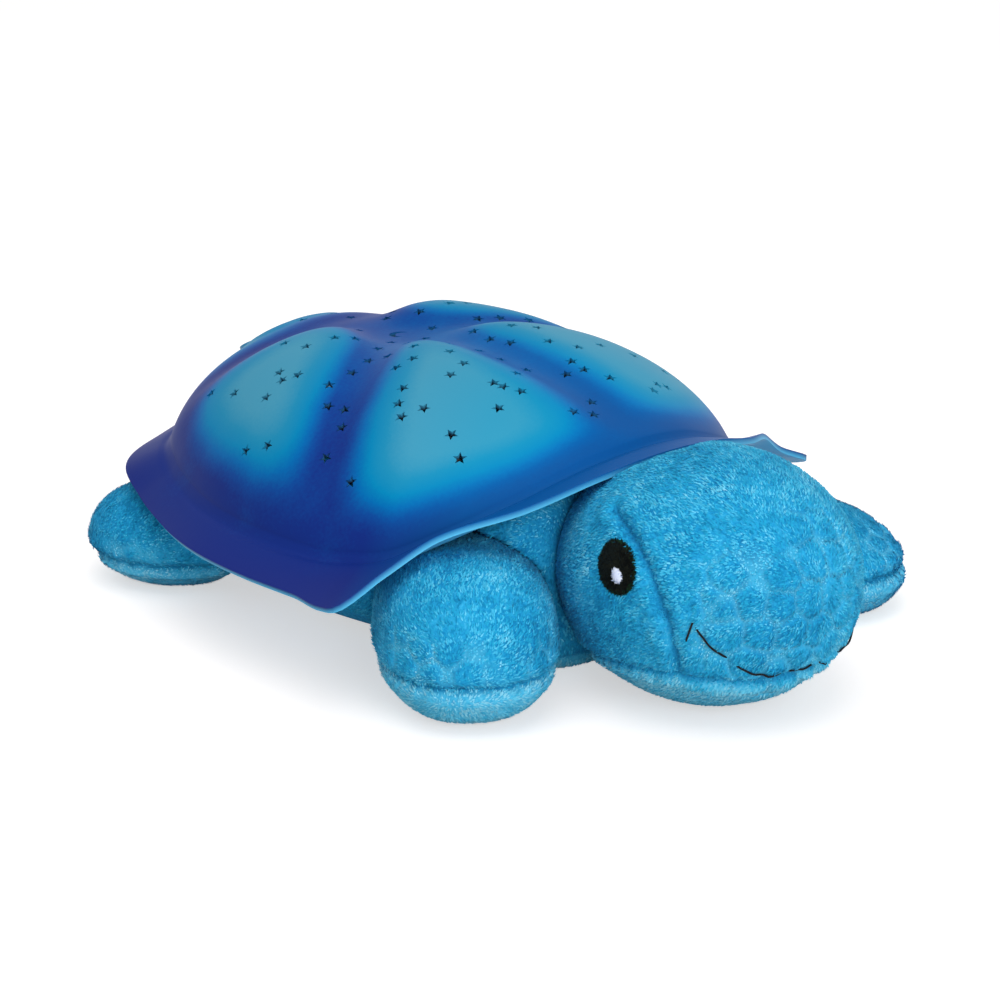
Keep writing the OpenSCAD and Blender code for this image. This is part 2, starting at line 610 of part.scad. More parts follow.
module contact_plates() color("#c9ccd0") {
    plate(-1, -1, 9);
    plate(-1, 0.5, 9 + cell_pitch);
    plate(1, -0.5, 9 + cell_pitch);
    plate(1, 1, 9);
    at_lamp(cell_z) translate([-cells_l / 2, -tab_y - tab_size.y / 2, 0]) cube([plate_t, tab_size.y, board_z + 0.8 - cell_z]);
    at_lamp(cell_z) translate([cells_l / 2 - plate_t, -tab_y - tab_size.y / 2, 0]) cube([plate_t, tab_size.y, board_z + 0.8 - cell_z]);
}
module spring(row, way) at_lamp(cell_z) translate([0, row * cell_pitch, 0]) mirror([way < 0 ? 1 : 0, 0, 0]) {
    steps = spring_turns * spring_steps;
    a = -spring_from + wire_r;
    l = spring_from - spring_to - 2 * wire_r;
    tube([for (k = [0:steps]) let (r = 4.1 - 1.4 * k / steps)
        [a + l * k / steps, r * cos(360 * k / spring_steps), r * sin(360 * k / spring_steps)]], wire_r, 5, [1, 0, 0]);
}
module contact_springs() color("#d5d8dc") {
    spring(1, -1);
    spring(0, 1);
    spring(-1, -1);
}
module battery_door() color("#dfe3e7") difference() {
    at_lamp(box_z) linear_extrude(door_t) door_outline(0);
    at_door_screws(box_z - 1) {
        cylinder(d = door_screw_d + 2 * run_gap, h = door_t + 2);
        cylinder(d = door_head_d + 2 * run_gap, h = 1 + door_head_t + 0.05);
    }
    for (x = [-3:3]) at_lamp(box_z) translate([3 * x - 0.5, cells_w / 2 - 7, -tiny]) cube([1, 6, 0.6]);
}
module door_screw(x) color("#8f9398") at_lamp(box_z) translate([x * door_screw_x, 0, 0]) difference() {
    union() {
        cylinder(d = door_head_d, h = door_head_t);
        cylinder(d = door_screw_d, h = door_t + insert_l - 0.5);
    }
    for (a = [0, 90]) rotate(a) cube([3, 0.6, 1.4], center = true);
}
module left_door_screw() door_screw(1);
module right_door_screw() door_screw(-1);

// ==== Plush ====================================================================================
// A blob is [middle, half sizes, squareness, growth towards its +X end, turn about Z, dip of its +X end].
// Its own X axis is its length. What would lie below the floor, or below low, is pressed flat on it.
HEAD = [[0, -head_y, head_z], [head_l / 2, head_w / 2, head_h / 2], 2, 0, -90, 0];
FRONT_RIGHT = [[-59, -39, 25], [front_flipper_l / 2, front_flipper_w / 2, 25.5], 2.4, 0.1, -124, -4];
FRONT_LEFT = [[73, -47, 18.5], [front_flipper_l / 2 + 5, front_flipper_w / 2, 19.5], 2.2, 0.1, -50, -8];
REAR_RIGHT = [[-59, 103, 18], [rear_flipper_l / 2, rear_flipper_w / 2, 18.3], 2, 0.1, 124, -2];
REAR_LEFT = [[59, 103, 18], [rear_flipper_l / 2, rear_flipper_w / 2, 18.3], 2, 0.1, 56, -2];
BODY = [[0, shell_y, 29], [body_l / 2, body_w / 2, 32], 2, 0, 90, 0];
NECK = [[0, -36, 31.5], [24, 56, 34.5], 2.4, 0, -90, 0];
TAIL = [[0, 125, 16], [14, 8, 8], 2, -0.45, 90, 6];
plush_edge_z = 37;      // top of the body round the lamp tray

function from_pole(r, u, v) = let (d = [r.x * cos(u), r.y * sin(u) * cos(v), r.z * sin(u) * sin(v)]) d / norm(d);
function out_to(d, r, n) = (abs(d.x / r.x) ^ n + abs(d.y / r.y) ^ n + abs(d.z / r.z) ^ n) ^ (-1 / n);
function turned(p, turn, dip) =
    let (x = p.x * cos(dip) - p.z * sin(dip), z = p.x * sin(dip) + p.z * cos(dip))
    [x * cos(turn) - p.y * sin(turn), x * sin(turn) + p.y * cos(turn), z];
function blob_point(shape, d, grow, low = 0) =
    let (r = shape[1] + [grow, grow, grow], q = d * out_to(d, r, shape[2]), w = 1 + shape[3] * q.x / r.x,
        p = shape[0] + turned([q.x, q.y * w, q.z * w], shape[4], shape[5]))
    [p.x, p.y, max(p.z, low - grow)];
// A closed skin over rings of points, with a single point beyond the first ring and beyond the last
module skin(rings, first, last, sides) {
    n = len(rings);
    polyhedron(concat(rings, [first, last]), concat(
        [for (i = [0:n / sides - 2], j = [0:sides - 1]) let (k = (j + 1) % sides, a = i * sides, b = a + sides)
            each [[a + j, b + k, b + j], [a + j, a + k, b + k]]],
        [for (j = [0:sides - 1]) let (k = (j + 1) % sides) [n, k, j]],
        [for (j = [0:sides - 1]) let (k = (j + 1) % sides, a = n - sides) [n + 1, a + j, a + k]]
    ));
}
module blob(shape, grow = 0, bands = 14, sides = 28, low = 0) skin(
    [for (i = [1:bands - 1], j = [0:sides - 1])
        blob_point(shape, from_pole(shape[1], 180 * i / bands, 360 * j / sides), grow, low)],
    blob_point(shape, [1, 0, 0], grow, low), blob_point(shape, [-1, 0, 0], grow, low), sides
);
head_bands = 18;
head_sides = 36;
module head_shape(grow = 0) blob(HEAD, grow, head_bands, head_sides);
// What the lamp unit and the shell take from the limbs
module limb_room() {
    at_lamp(-1) cylinder(r = flange_r + 1.5, h = through);
    at_shell() shell_room();
}
module flipper(shape) color("#2e9cc4") as_mesh() difference() {
    blob(shape);
    head_shape(soft_gap);
    limb_room();
}
module front_right_flipper() flipper(FRONT_RIGHT);
module front_left_flipper() flipper(FRONT_LEFT);
module rear_right_flipper() flipper(REAR_RIGHT);
module rear_left_flipper() flipper(REAR_LEFT);
module head() color("#2aa3d0") as_mesh() difference() {
    head_shape();
    at_shell() shell_room();
}
module tail() color("#2e9cc4") as_mesh() difference() {
    blob(TAIL, 0, 8, 16);
    limb_room();
}
module torso() color("#2a93bd") difference() {
    as_mesh() difference() {
        union() {
            intersection() {
                blob(BODY, 0, 14, 32, -2);
                translate([-through, -through, -through]) cube([2 * through, 2 * through, through + plush_edge_z]);
            }
            difference() {
                blob(NECK, 0, 12, 20, -2);
                at_lamp(-1) cylinder(r = flange_r + 1.5, h = through, $fn = 40);
            }
        }
        head_shape(soft_gap);
        for (shape = [FRONT_RIGHT, FRONT_LEFT, REAR_RIGHT, REAR_LEFT]) blob(shape, soft_gap);
        blob(TAIL, soft_gap, 8, 16);
        at_shell() shell_room();
    }
    translate([-through, -through, -through]) cube([2 * through, 2 * through, through]);
    at_lamp(flange_z - flange_t) cylinder(r = flange_r + soft_gap, h = through);
    at_lamp(dish_z - soft_gap) cylinder(r = tray_r + soft_gap, h = through);
    at_lamp(ring_z - soft_gap) cylinder(r = flange_r + soft_gap, h = ring_t + soft_gap);
    at_lamp(box_z - soft_gap) linear_extrude(dish_z - box_z) box_outline(soft_gap);
    at_lamp(-1) linear_extrude(box_z + 1) door_outline(1);
    at_posts() translate([0, 0, ring_z]) cylinder(d = shell_screw_d + 0.8, h = collar_t + ring_t + 1);
}

// ---- Face: patches and stitches that follow the head ------------------------------------------
eye_side = 87;          // bearing of an eye from the middle of the head
eye_up = 17;            // and its angle above level
eye_lean = 40;          // how far the top of an eye leans back
eye_back = 0.1;         // an eye's back and its face, out from the head
eye_front = 0.8;
highlight_w = 3.4;
highlight_h = 4.6;
patch_sides = 24;
// The point a across and b up from the middle of a patch, so far out from the head
function on_face(side, up, a, b, out) = blob_point(HEAD, turned([head_w / 2, a, b], -side, up), out);
// An oval patch: rings from the middle of its face, over its rim, to the middle of its back
module patch(side, up, w, h, low, high) skin(
    [for (ring = [[1, high], [2, high], [3, high], [3, low], [2, low], [1, low]], j = [0:patch_sides - 1])
        let (t = 360 * j / patch_sides, a = ring[0] / 3 * w / 2 * cos(t), b = ring[0] / 3 * h / 2 * sin(t))
        on_face(side, up, a * cos(eye_lean) - b * sin(eye_lean), a * sin(eye_lean) + b * cos(eye_lean), ring[1])],
    on_face(side, up, 0, 0, high), on_face(side, up, 0, 0, low), patch_sides
);
module eye() patch(eye_side, eye_up, eye_w, eye_h, eye_back, eye_front);
module eye_highlight() patch(eye_side - 2, eye_up - 3, highlight_w, highlight_h, eye_front + 0.05, eye_front + 0.5);
module right_eye() color("#10130f") eye();
module left_eye() color("#10130f") mirror([1, 0, 0]) eye();
module eye_highlights() color("#f4f6f8") {
    eye_highlight();
    mirror([1, 0, 0]) eye_highlight();
}
mouth_side = 51;        // the smile runs from this bearing round the snout to the other side
mouth_low = -24;
mouth_high = -1;
thread_r = 0.35;
function on_mouth(side, up) = on_face(side, up, 0, 0, thread_r + 0.1);
function smile(side) = on_mouth(side, mouth_low + (mouth_high - mouth_low) * (abs(side) / mouth_side) ^ 3);
module mouth_stitching() color("#15181c") {
    tube([for (k = [-12:12]) smile(mouth_side * k / 12)], thread_r, 6, [0, 0, 1]);
    for (s = [-1, 1])
        tube([for (k = [0:3]) on_mouth(s * (mouth_side + 1.3 + 0.7 * k), mouth_high + 1.5 - 2.6 * k)], thread_r, 6, [0, -1, 0]);
}

shell();
panel();
power_button();
green_button();
blue_button();
amber_button();
power_plunger();
green_plunger();
blue_plunger();
amber_plunger();
switch_bodies();
switch_board();
switch_board_screws();
switch_plug();
tray();
clamp_ring();
shell_screws();
light_deck();
deck_screws();
lamp_board();
lamp_board_screws();
led_holder();
green_led();
blue_led();
amber_led();
timer_chip();
resistors();
transistors();
capacitor();
lamp_plug();
switch_cable();
left_cell();
middle_cell();
right_cell();
contact_plates();
contact_springs();
battery_door();
left_door_screw();
right_door_screw();
door_inserts();
torso();
head();
tail();
front_right_flipper();
front_left_flipper();
rear_right_flipper();
rear_left_flipper();
right_eye();
left_eye();
eye_highlights();
mouth_stitching();
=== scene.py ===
# A star night light: a stuffed turtle that carries a hard pierced shell with a battery lamp under it.
# Lengths are in millimetres up to the moment a mesh is made, and MM turns them to metres.
import json
import math

import bpy
import numpy as np
from mathutils import Matrix, Vector
from mathutils.bvhtree import BVHTree
from mathutils.kdtree import KDTree

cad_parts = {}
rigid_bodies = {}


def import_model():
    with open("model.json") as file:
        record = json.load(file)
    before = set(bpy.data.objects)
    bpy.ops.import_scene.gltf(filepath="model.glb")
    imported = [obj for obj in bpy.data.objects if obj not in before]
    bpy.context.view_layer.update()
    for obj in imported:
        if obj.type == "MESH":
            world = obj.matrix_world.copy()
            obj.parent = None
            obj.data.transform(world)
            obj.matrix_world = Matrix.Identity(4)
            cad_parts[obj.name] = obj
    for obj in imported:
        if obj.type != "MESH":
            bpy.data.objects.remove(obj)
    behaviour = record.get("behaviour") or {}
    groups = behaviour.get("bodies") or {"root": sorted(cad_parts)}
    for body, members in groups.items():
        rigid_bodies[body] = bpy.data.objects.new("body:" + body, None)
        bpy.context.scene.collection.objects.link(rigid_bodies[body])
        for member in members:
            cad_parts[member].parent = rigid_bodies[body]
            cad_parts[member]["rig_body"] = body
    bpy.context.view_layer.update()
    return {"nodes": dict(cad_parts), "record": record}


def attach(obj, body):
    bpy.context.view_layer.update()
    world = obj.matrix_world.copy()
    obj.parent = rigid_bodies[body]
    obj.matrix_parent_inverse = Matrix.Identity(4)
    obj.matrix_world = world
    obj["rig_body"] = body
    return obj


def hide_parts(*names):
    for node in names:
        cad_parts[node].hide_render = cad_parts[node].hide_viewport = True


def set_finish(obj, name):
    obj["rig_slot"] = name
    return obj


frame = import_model()
MM = 0.001

# ---- Camera ------------------------------------------------------------------------------------
# A long lens on a stand, level with a child's eye, looking at the turtle's right cheek.
camera_target = Vector((14.3, 22.0, 32.3)) * MM
camera_azimuth = math.radians(-43)
camera_height = math.radians(19.3)
camera_distance = 1.3
bpy.ops.object.camera_add()
camera = bpy.context.object
camera.data.lens = 137.5
camera.data.sensor_width = 36
back = Vector((
    math.sin(camera_azimuth) * math.cos(camera_height),
    -math.cos(camera_azimuth) * math.cos(camera_height),
    math.sin(camera_height),
))
camera.location = camera_target + back * camera_distance
camera.rotation_mode = "QUATERNION"
camera.rotation_quaternion = (-back).to_track_quat("-Z", "Y")
bpy.context.scene.camera = camera
bpy.context.scene.view_settings.view_transform = "Standard"


# ---- Shell: its shape --------------------------------------------------------------------------
# One injection moulding of light blue ABS, 2 mm thick: a dome of five raised plates with soft valleys
# between them, and a wavy brim that turns up over the head and runs out to points over the flippers.
# Stations round the shell: bearing, reach of the brim's edge, height of the edge, reach of the dome's
# foot, height of the foot. A bearing is 0 at the head and 180 at the tail, and the sides mirror.
STATIONS = np.array([
    [0, 101, 76, 88, 75],
    [15, 101, 73, 88, 72],
    [30, 103, 66, 90, 64],
    [45, 105, 58.5, 93, 54],
    [54, 113, 48, 95, 48],
    [59, 124.5, 41, 94, 46],
    [63, 119.5, 38, 93, 45],
    [70, 110, 37, 91, 44],
    [84, 103, 36, 88, 44],
    [100, 101, 36, 87, 44],
    [117, 101.5, 36, 89, 45],
    [130, 106, 37, 93, 47],
    [140, 113, 40, 97, 49],
    [147, 114.5, 41, 99, 49],
    [157, 112, 42.5, 101, 49],
    [168, 111, 44.5, 102, 49],
    [180, 111, 46, 103, 49],
], float)
shell_y = 30          # the middle of the shell lies this far behind the middle of the toy
crown_height = 91
plate_rise = 5
valley_width = 22
dimple_depth = 4
brim_blend = 7
dome_power = 2.3
front_fullness = 0.70
rear_fullness = 0.56
shell_wall = 2
front_fork = np.array([0.0, 25.0])
rear_fork = np.array([0.0, 51.0])
panel_reach = 89      # from the middle of the shell back to the control panel
panel_height = 71.2
panel_tilt = 36
panel_width = 34
panel_depth = 22
panel_corner = 7
collar_wall = 1.9
station_slope = np.zeros_like(STATIONS[:, 1:])
station_slope[1:-1] = (STATIONS[2:, 1:] - STATIONS[:-2, 1:]) / (STATIONS[2:, :1] - STATIONS[:-2, :1])


def round_shell(bearing):
    """Brim reach, brim height, foot reach and foot height at these bearings."""
    turned = np.abs((bearing + 180) % 360 - 180)
    i = np.clip(np.searchsorted(STATIONS[:, 0], turned, side="right") - 1, 0, len(STATIONS) - 2)
    start, end = STATIONS[i], STATIONS[i + 1]
    width = (end[..., 0] - start[..., 0])[..., None]
    t = (turned - start[..., 0])[..., None] / width
    slope, next_slope = width * station_slope[i], width * station_slope[i + 1]
    curve = (2 * t**3 - 3 * t**2 + 1) * start[..., 1:] + (t**3 - 2 * t**2 + t) * slope
    curve = curve + (3 * t**2 - 2 * t**3) * end[..., 1:] + (t**3 - t**2) * next_slope
    return np.moveaxis(curve, -1, 0)


def at_bearing(bearing, reach):
    return np.stack([-reach * np.sin(np.radians(bearing)), -reach * np.cos(np.radians(bearing))], -1)


def foot(bearing):
    return at_bearing(bearing, round_shell(np.array(float(bearing)))[2])


VALLEYS = [
    (front_fork, foot(0)),
    (front_fork, rear_fork),
    (front_fork, foot(72)),
    (front_fork, foot(-72)),
    (rear_fork, foot(140)),
    (rear_fork, foot(-140)),
]


def from_valley(place, valley):
    start, end = valley
    along = np.clip(((place - start) @ (end - start)) / ((end - start) @ (end - start)), 0, 1)
    return np.linalg.norm(place - start - along[..., None] * (end - start), axis=-1)


def off_valleys(place, width):
    """0 in the middle of a valley, 1 out on a plate."""
    share = 1.0
    for valley in VALLEYS:
        share = share * (1 - np.exp(-((2 * from_valley(place, valley) / width) ** 2)))
    return share


def from_panel(place):
    """How far a place is outside the control panel's collar, seen from above."""
    beside = np.maximum(np.abs(place[..., 0]) - panel_width / 2 + panel_corner, 0)
    behind = np.maximum(np.abs(place[..., 1] - panel_reach + 1) - panel_depth / 2 + panel_corner + 2, 0)
    return np.maximum(np.hypot(beside, behind) - panel_corner - collar_wall, 0)


def shell_height(place):
    bearing = np.degrees(np.arctan2(-place[..., 0], -place[..., 1]))
    edge_reach, edge_height, foot_reach, foot_height = round_shell(bearing)
    reach = np.linalg.norm(place, axis=-1)
    s = reach / foot_reach
    inside = np.clip(s, 0, 1)
    fullness = (front_fullness + rear_fullness) / 2
    fullness = fullness + (front_fullness - rear_fullness) / 2 * np.cos(np.radians(bearing))
    dome = crown_height - (crown_height - foot_height) * (1 - (1 - inside**dome_power) ** fullness)
    dome = dome + plate_rise * off_valleys(place, valley_width) * (1 - inside**4)
    from_fork = np.linalg.norm(place - front_fork, axis=-1)
    dome = dome - dimple_depth * np.exp(-((from_fork / valley_width) ** 2))
    dome = np.where(s < 1, dome, foot_height - 2.5 * (s - 1) * foot_reach)
    run = np.minimum(edge_reach - reach, edge_reach - foot_reach) / (edge_reach - foot_reach)
    brim = edge_height + (foot_height - edge_height) * run
    blend = np.maximum(brim_blend - np.abs(dome - brim), 0) ** 2 / (4 * brim_blend)
    return np.maximum(dome, brim) + blend


def shell_normal(place):
    step = 0.5
    aside, ahead = np.array([step, 0]), np.array([0, step])
    slope_x = (shell_height(place + aside) - shell_height(place - aside)) / (2 * step)
    slope_y = (shell_height(place + ahead) - shell_height(place - ahead)) / (2 * step)
    normal = np.stack([-slope_x, -slope_y, np.ones_like(slope_x)], -1)
    return normal / np.linalg.norm(normal, axis=-1, keepdims=True)


def places_of(mesh):
    """The mesh's vertices, in millimetres."""
    flat = np.zeros(len(mesh.vertices) * 3, np.float32)
    mesh.vertices.foreach_get("co", flat)
    return flat.reshape(-1, 3).astype(float) / MM


def put_places(mesh, places):
    mesh.vertices.foreach_set("co", (places * MM).astype(np.float32).ravel())
    mesh.update()


def take(piece):
    """Makes this piece the only one that is selected and active."""
    bpy.ops.object.select_all(action="DESELECT")
    bpy.context.view_layer.objects.active = piece
    piece.select_set(True)


def edit(piece, part, chosen, *moves):
    """Chooses vertices, edges or faces by a test and makes edit mode moves on them."""
    take(piece)
    items = {"VERT": "vertices", "EDGE": "edges", "FACE": "polygons"}[part]
    bpy.ops.object.mode_set(mode="EDIT")
    bpy.ops.mesh.select_mode(type=part)
    bpy.ops.mesh.select_all(action="DESELECT")
    bpy.ops.object.mode_set(mode="OBJECT")
    for item in getattr(piece.data, items):
        item.select = chosen(item)
    bpy.ops.object.mode_set(mode="EDIT")
    for move, settings in moves:
        move(**settings)
    bpy.ops.object.mode_set(mode="OBJECT")


def finish_with(piece, kind, **settings):
    """Adds a modifier with these settings and applies it."""
    take(piece)
    made = piece.modifiers.new(kind.title(), kind)
    for name, value in settings.items():
        setattr(made, name, value)
    bpy.ops.object.modifier_apply(modifier=made.name)


def fix_place(piece):
    """Puts a piece's place and turn into its mesh, so that its object sits at the origin."""
    take(piece)
    bpy.ops.object.transform_apply(location=True, rotation=True, scale=True)


def rounded_block(name, width, depth, corner, low, high):
    """A block with round upright corners, in the control panel's own frame and then put in place."""
    bpy.ops.mesh.primitive_cube_add(size=1)
    block = bpy.context.object
    block.name = name
    block.scale = (width * MM, depth * MM, (high - low) * MM)
    block.location = (0, 0, (high + low) / 2 * MM)
    fix_place(block)
    corners = block.data.vertices
    edit(
        block, "EDGE",
        lambda e: abs(corners[e.vertices[0]].co.z - corners[e.vertices[1]].co.z) > 1 * MM,
        (bpy.ops.mesh.bevel, {"offset": corner * MM, "segments": 10}),
    )
    return block


def at_panel(piece):
    lean = Matrix.Rotation(math.radians(-panel_tilt), 4, "X")
    seat_of_panel = Vector((0, shell_y + panel_reach, panel_height)) * MM
    piece.data.transform(Matrix.Translation(seat_of_panel) @ lean)


shell_columns = 288
shell_rings = 84
dome_share = 0.78     # this share of the rings lies on the dome and the rest on the brim
bpy.ops.object.select_all(action="DESELECT")
bpy.ops.mesh.primitive_uv_sphere_add(segments=shell_columns, ring_count=2 * shell_rings, radius=1)
shell = bpy.context.object
shell.name = "blown_shell"
edit(shell, "VERT", lambda v: v.co.z < -0.001, (bpy.ops.mesh.delete, {"type": "VERT"}))
on_ball = places_of(shell.data) * MM
way_round = np.degrees(np.arctan2(-on_ball[:, 0], -on_ball[:, 1]))
way_out = np.degrees(np.arccos(np.clip(on_ball[:, 2], 0, 1))) / 90
brim_reach, _, foot_reach, _ = round_shell(way_round)
reach = np.where(
    way_out < dome_share,
    foot_reach * np.sin(np.pi / 2 * np.minimum(way_out / dome_share, 1)),
    foot_reach + (brim_reach - foot_reach) * (way_out - dome_share) / (1 - dome_share),
)
flat_place = at_bearing(way_round, reach)
collar_fillet = 1.4 * np.exp(-((from_panel(flat_place) / 3) ** 2))
foot_crease = 0.75 * np.exp(-(((reach - foot_reach - 2) / 1.4) ** 2))
skin_height = shell_height(flat_place) + collar_fillet - foot_crease
put_places(shell.data, np.column_stack([flat_place[:, 0], flat_place[:, 1] + shell_y, skin_height]))
finish_with(shell, "SOLIDIFY", thickness=shell_wall * MM, offset=-1, use_even_offset=True)
finish_with(
    shell, "BEVEL", width=0.75 * MM, segments=3, limit_method="ANGLE", angle_limit=math.radians(55)
)

collar = rounded_block("collar", panel_width + 2 * collar_wall, panel_depth + 2 * collar_wall,
                       panel_corner + collar_wall, -9, 0)
edit(
    collar, "FACE", lambda f: f.normal.z > 0.9 and f.center.z > -1 * MM,
    (bpy.ops.mesh.bevel, {"offset": 0.6 * MM, "segments": 3}),
)
at_panel(collar)
finish_with(shell, "BOOLEAN", operation="UNION", object=collar, solver="EXACT")

# The holes: a spiral of small stars round one crescent, all cut square to the shell.
star_places = 118
star_tip = 2.4
star_core = 1.05
moon_radius = 3.4
moon_place = front_fork + [1, 3]
post_circle = 61
post_radius = 3.8
lamp_y = 40
post_places = at_bearing(30 + 60 * np.arange(6), post_circle) + [0, lamp_y - shell_y]


def star_place(i):
    bearing = (i * 137.508 + 9 * math.sin(math.radians(77 * i))) % 360
    spread = 0.86 * round_shell(np.array(bearing))[2] * ((i + 0.5) / star_places) ** 0.56
    return at_bearing(bearing, spread * (1 + 0.05 * math.sin(math.radians(131 * i))))


def is_free(place):
    beside_panel = max(abs(place[0]) - panel_width / 2, abs(place[1] - panel_reach) - panel_depth / 2)
    return (
        np.linalg.norm(place - moon_place) > moon_radius + 2 * star_tip
        and beside_panel > collar_wall + star_tip
        and np.linalg.norm(post_places - place, axis=1).min() > post_radius + star_tip
    )


def square_to_shell(piece, place, turn):
    normal = Vector(shell_normal(place))
    upright = Matrix.Rotation(math.acos(normal.z), 4, "Y") @ Matrix.Rotation(math.radians(turn), 4, "Z")
    aside = Matrix.Rotation(math.atan2(normal.y, normal.x), 4, "Z")
    spot = Vector((place[0], place[1] + shell_y, float(shell_height(place)))) * MM
    piece.data.transform(Matrix.Translation(spot) @ aside @ upright)


def joined(name, pieces):
    take(pieces[0])
    for piece in pieces:
        piece.select_set(True)
    bpy.ops.object.join()
    pieces[0].name = name
    return pieces[0]


bpy.ops.mesh.primitive_cylinder_add(vertices=10, radius=star_tip * MM, depth=4 * shell_wall * MM)
star = bpy.context.object
for corner in star.data.vertices:
    way = math.degrees(math.atan2(corner.co.y, corner.co.x)) - 90
    if round(way / 36) % 2:
        corner.co.xy *= star_core / star_tip
cutters = []
for i in range(2, star_places):
    place = star_place(i)
    if is_free(place):
        cutter = star.copy()
        cutter.data = star.data.copy()
        bpy.context.collection.objects.link(cutter)
        square_to_shell(cutter, place, 47 * i - 90)
        cutters.append(cutter)
bpy.ops.mesh.primitive_cylinder_add(vertices=40, radius=moon_radius * MM, depth=4 * shell_wall * MM)
moon = bpy.context.object
bite_radius = 0.8 * moon_radius
bpy.ops.mesh.primitive_cylinder_add(vertices=40, radius=bite_radius * MM, depth=6 * shell_wall * MM)
bite = bpy.context.object
bite.location.x = 0.42 * moon_radius * MM
fix_place(bite)
finish_with(moon, "BOOLEAN", operation="DIFFERENCE", object=bite, solver="EXACT")
square_to_shell(moon, moon_place, 200)
seat = rounded_block("seat", panel_width + 0.6, panel_depth + 0.6, panel_corner + 0.3, -2, 20)
window = rounded_block("window", panel_width - 2.4, panel_depth - 2.4, panel_corner - 1.2, -12, 10)
finish_with(seat, "BOOLEAN", operation="UNION", object=window, solver="EXACT")
at_panel(seat)
holes = joined("holes", [seat, moon, *cutters])
finish_with(shell, "BOOLEAN", operation="DIFFERENCE", object=holes, solver="EXACT")

posts = []
for x, y in post_places:
    bpy.ops.mesh.primitive_cylinder_add(vertices=32, radius=post_radius * MM, depth=10 * MM)
    post = bpy.context.object
    post.location = (x * MM, (y + shell_y) * MM, 39 * MM)
    fix_place(post)
    edit(
        post, "FACE", lambda f: f.normal.z < -0.9,
        (bpy.ops.mesh.inset, {"thickness": (post_radius - 1.5) * MM}),
        (bpy.ops.mesh.extrude_region_move, {"TRANSFORM_OT_translate": {"value": (0, 0, 9 * MM)}}),
    )
    tops = places_of(post.data)
    on_top = tops[:, 2] > 43.5
    tops[on_top, 2] = shell_height(tops[on_top, :2] - [0, shell_y]) - shell_wall / 2
    put_places(post.data, tops)
    posts.append(post)
shell = joined("blown_shell", [shell, *posts])
for used in (collar, bite, star, window, holes):
    bpy.data.objects.remove(used)
bpy.ops.object.shade_smooth_by_angle(angle=math.radians(40))

# ---- Shell: its paint --------------------------------------------------------------------------
# Airbrushed on the outside only: deep ultramarine along the valleys and on the brim, azure round each plate
# and a misty pale blue in its middle. The rim and the underside of the brim stay bare light blue plastic,
# pale enough to stand in for light on the rim as a painted highlight. The inside of the dome is coloured
# dark brown as painted shade, so that the holes look black.


def write_attribute(mesh, name, values):
    made = mesh.attributes.new(name, "FLOAT", "POINT")
    made.data.foreach_set("value", np.asarray(values, np.float32))


spots = places_of(shell.data)
spot = spots[:, :2] - [0, shell_y]
bearing = np.degrees(np.arctan2(-spot[:, 0], -spot[:, 1]))
_, _, foot_reach, _ = round_shell(bearing)
to_foot = np.maximum(foot_reach - np.linalg.norm(spot, axis=1), 0)
near_crown = np.exp(-((np.linalg.norm(spot, axis=1) / 55) ** 2))
spray = off_valleys(spot, 38 - 12 * near_crown) * (1 - np.exp(-((to_foot / 11) ** 2)))
write_attribute(shell.data, "spray", np.maximum(spray, 0.24 * near_crown))
write_attribute(shell.data, "front", np.clip((-spot[:, 1] - 0.55 * np.abs(spot[:, 0]) - 2) / 36, 0, 1))
under_skin = shell_height(spot) - spots[:, 2]
paint_reach = 1.25    # how far down the rim the paint goes
write_attribute(shell.data, "outside", under_skin < paint_reach)
beyond_foot = np.linalg.norm(spot, axis=1) - foot_reach
write_attribute(shell.data, "brim", np.clip(beyond_foot / 14, 0, 1))
# The inside of the dome, which is coloured dark brown as painted shade.
write_attribute(shell.data, "inside", (under_skin > 0.9) * np.clip(-beyond_foot / 6, 0, 1))


def rgb(code):
    """An sRGB colour, as hex, in the linear form that a shader takes."""
    parts = [int(code[i : i + 2], 16) / 255 for i in (1, 3, 5)]
    return (*[c / 12.92 if c <= 0.04045 else ((c + 0.055) / 1.055) ** 2.4 for c in parts], 1)


def add(tree, kind, links=None, stops=(), **settings):
    """Adds a shader node with its settings and colour stops, and sets or links its inputs."""
    made = tree.nodes.new("ShaderNode" + kind)
    for name, value in settings.items():
        setattr(made, name, value)
    for name, value in (links or {}).items():
        if isinstance(value, bpy.types.NodeSocket):
            tree.links.new(value, made.inputs[name])
        else:
            made.inputs[name].default_value = value
    for i, (position, colour) in enumerate(stops):
        if i >= len(made.color_ramp.elements):
            made.color_ramp.elements.new(position)
        made.color_ramp.elements[i].position = position
        made.color_ramp.elements[i].color = rgb(colour)
    return made


def new_material(name, **settings):
    """A material with a Principled shader. Returns the material, its nodes and the shader."""
    made = bpy.data.materials.new(name)
    made.use_nodes = True
    shader = made.node_tree.nodes["Principled BSDF"]
    for socket, value in settings.items():
        shader.inputs[socket.replace("_", " ")].default_value = value
    return made, made.node_tree, shader


# Airbrushed ABS: a satin lacquer with a faint orange peel and a mist of fine droplets at each fade.
painted, tree, shader = new_material(
    "airbrushed_ABS", Roughness=0.42, IOR=1.5, Specular_IOR_Level=0.035
)
place = add(tree, "TexCoord").outputs["Object"]
spray, front, brim, outside, inside = (
    add(tree, "Attribute", attribute_name=share).outputs["Fac"]
    for share in ("spray", "front", "brim", "outside", "inside")
)
drift = add(tree, "TexNoise", {"Vector": place, "Scale": 45, "Detail": 2}).outputs["Fac"]
mist = add(tree, "TexNoise", {"Vector": place, "Scale": 900, "Detail": 1}).outputs["Fac"]
wander = add(tree, "Math", {0: drift, 1: 0.5}, operation="SUBTRACT").outputs[0]
wander = add(tree, "Math", {0: wander, 1: 0.16, 2: spray}, operation="MULTIPLY_ADD").outputs[0]
grain = add(tree, "Math", {0: mist, 1: 0.5}, operation="SUBTRACT").outputs[0]
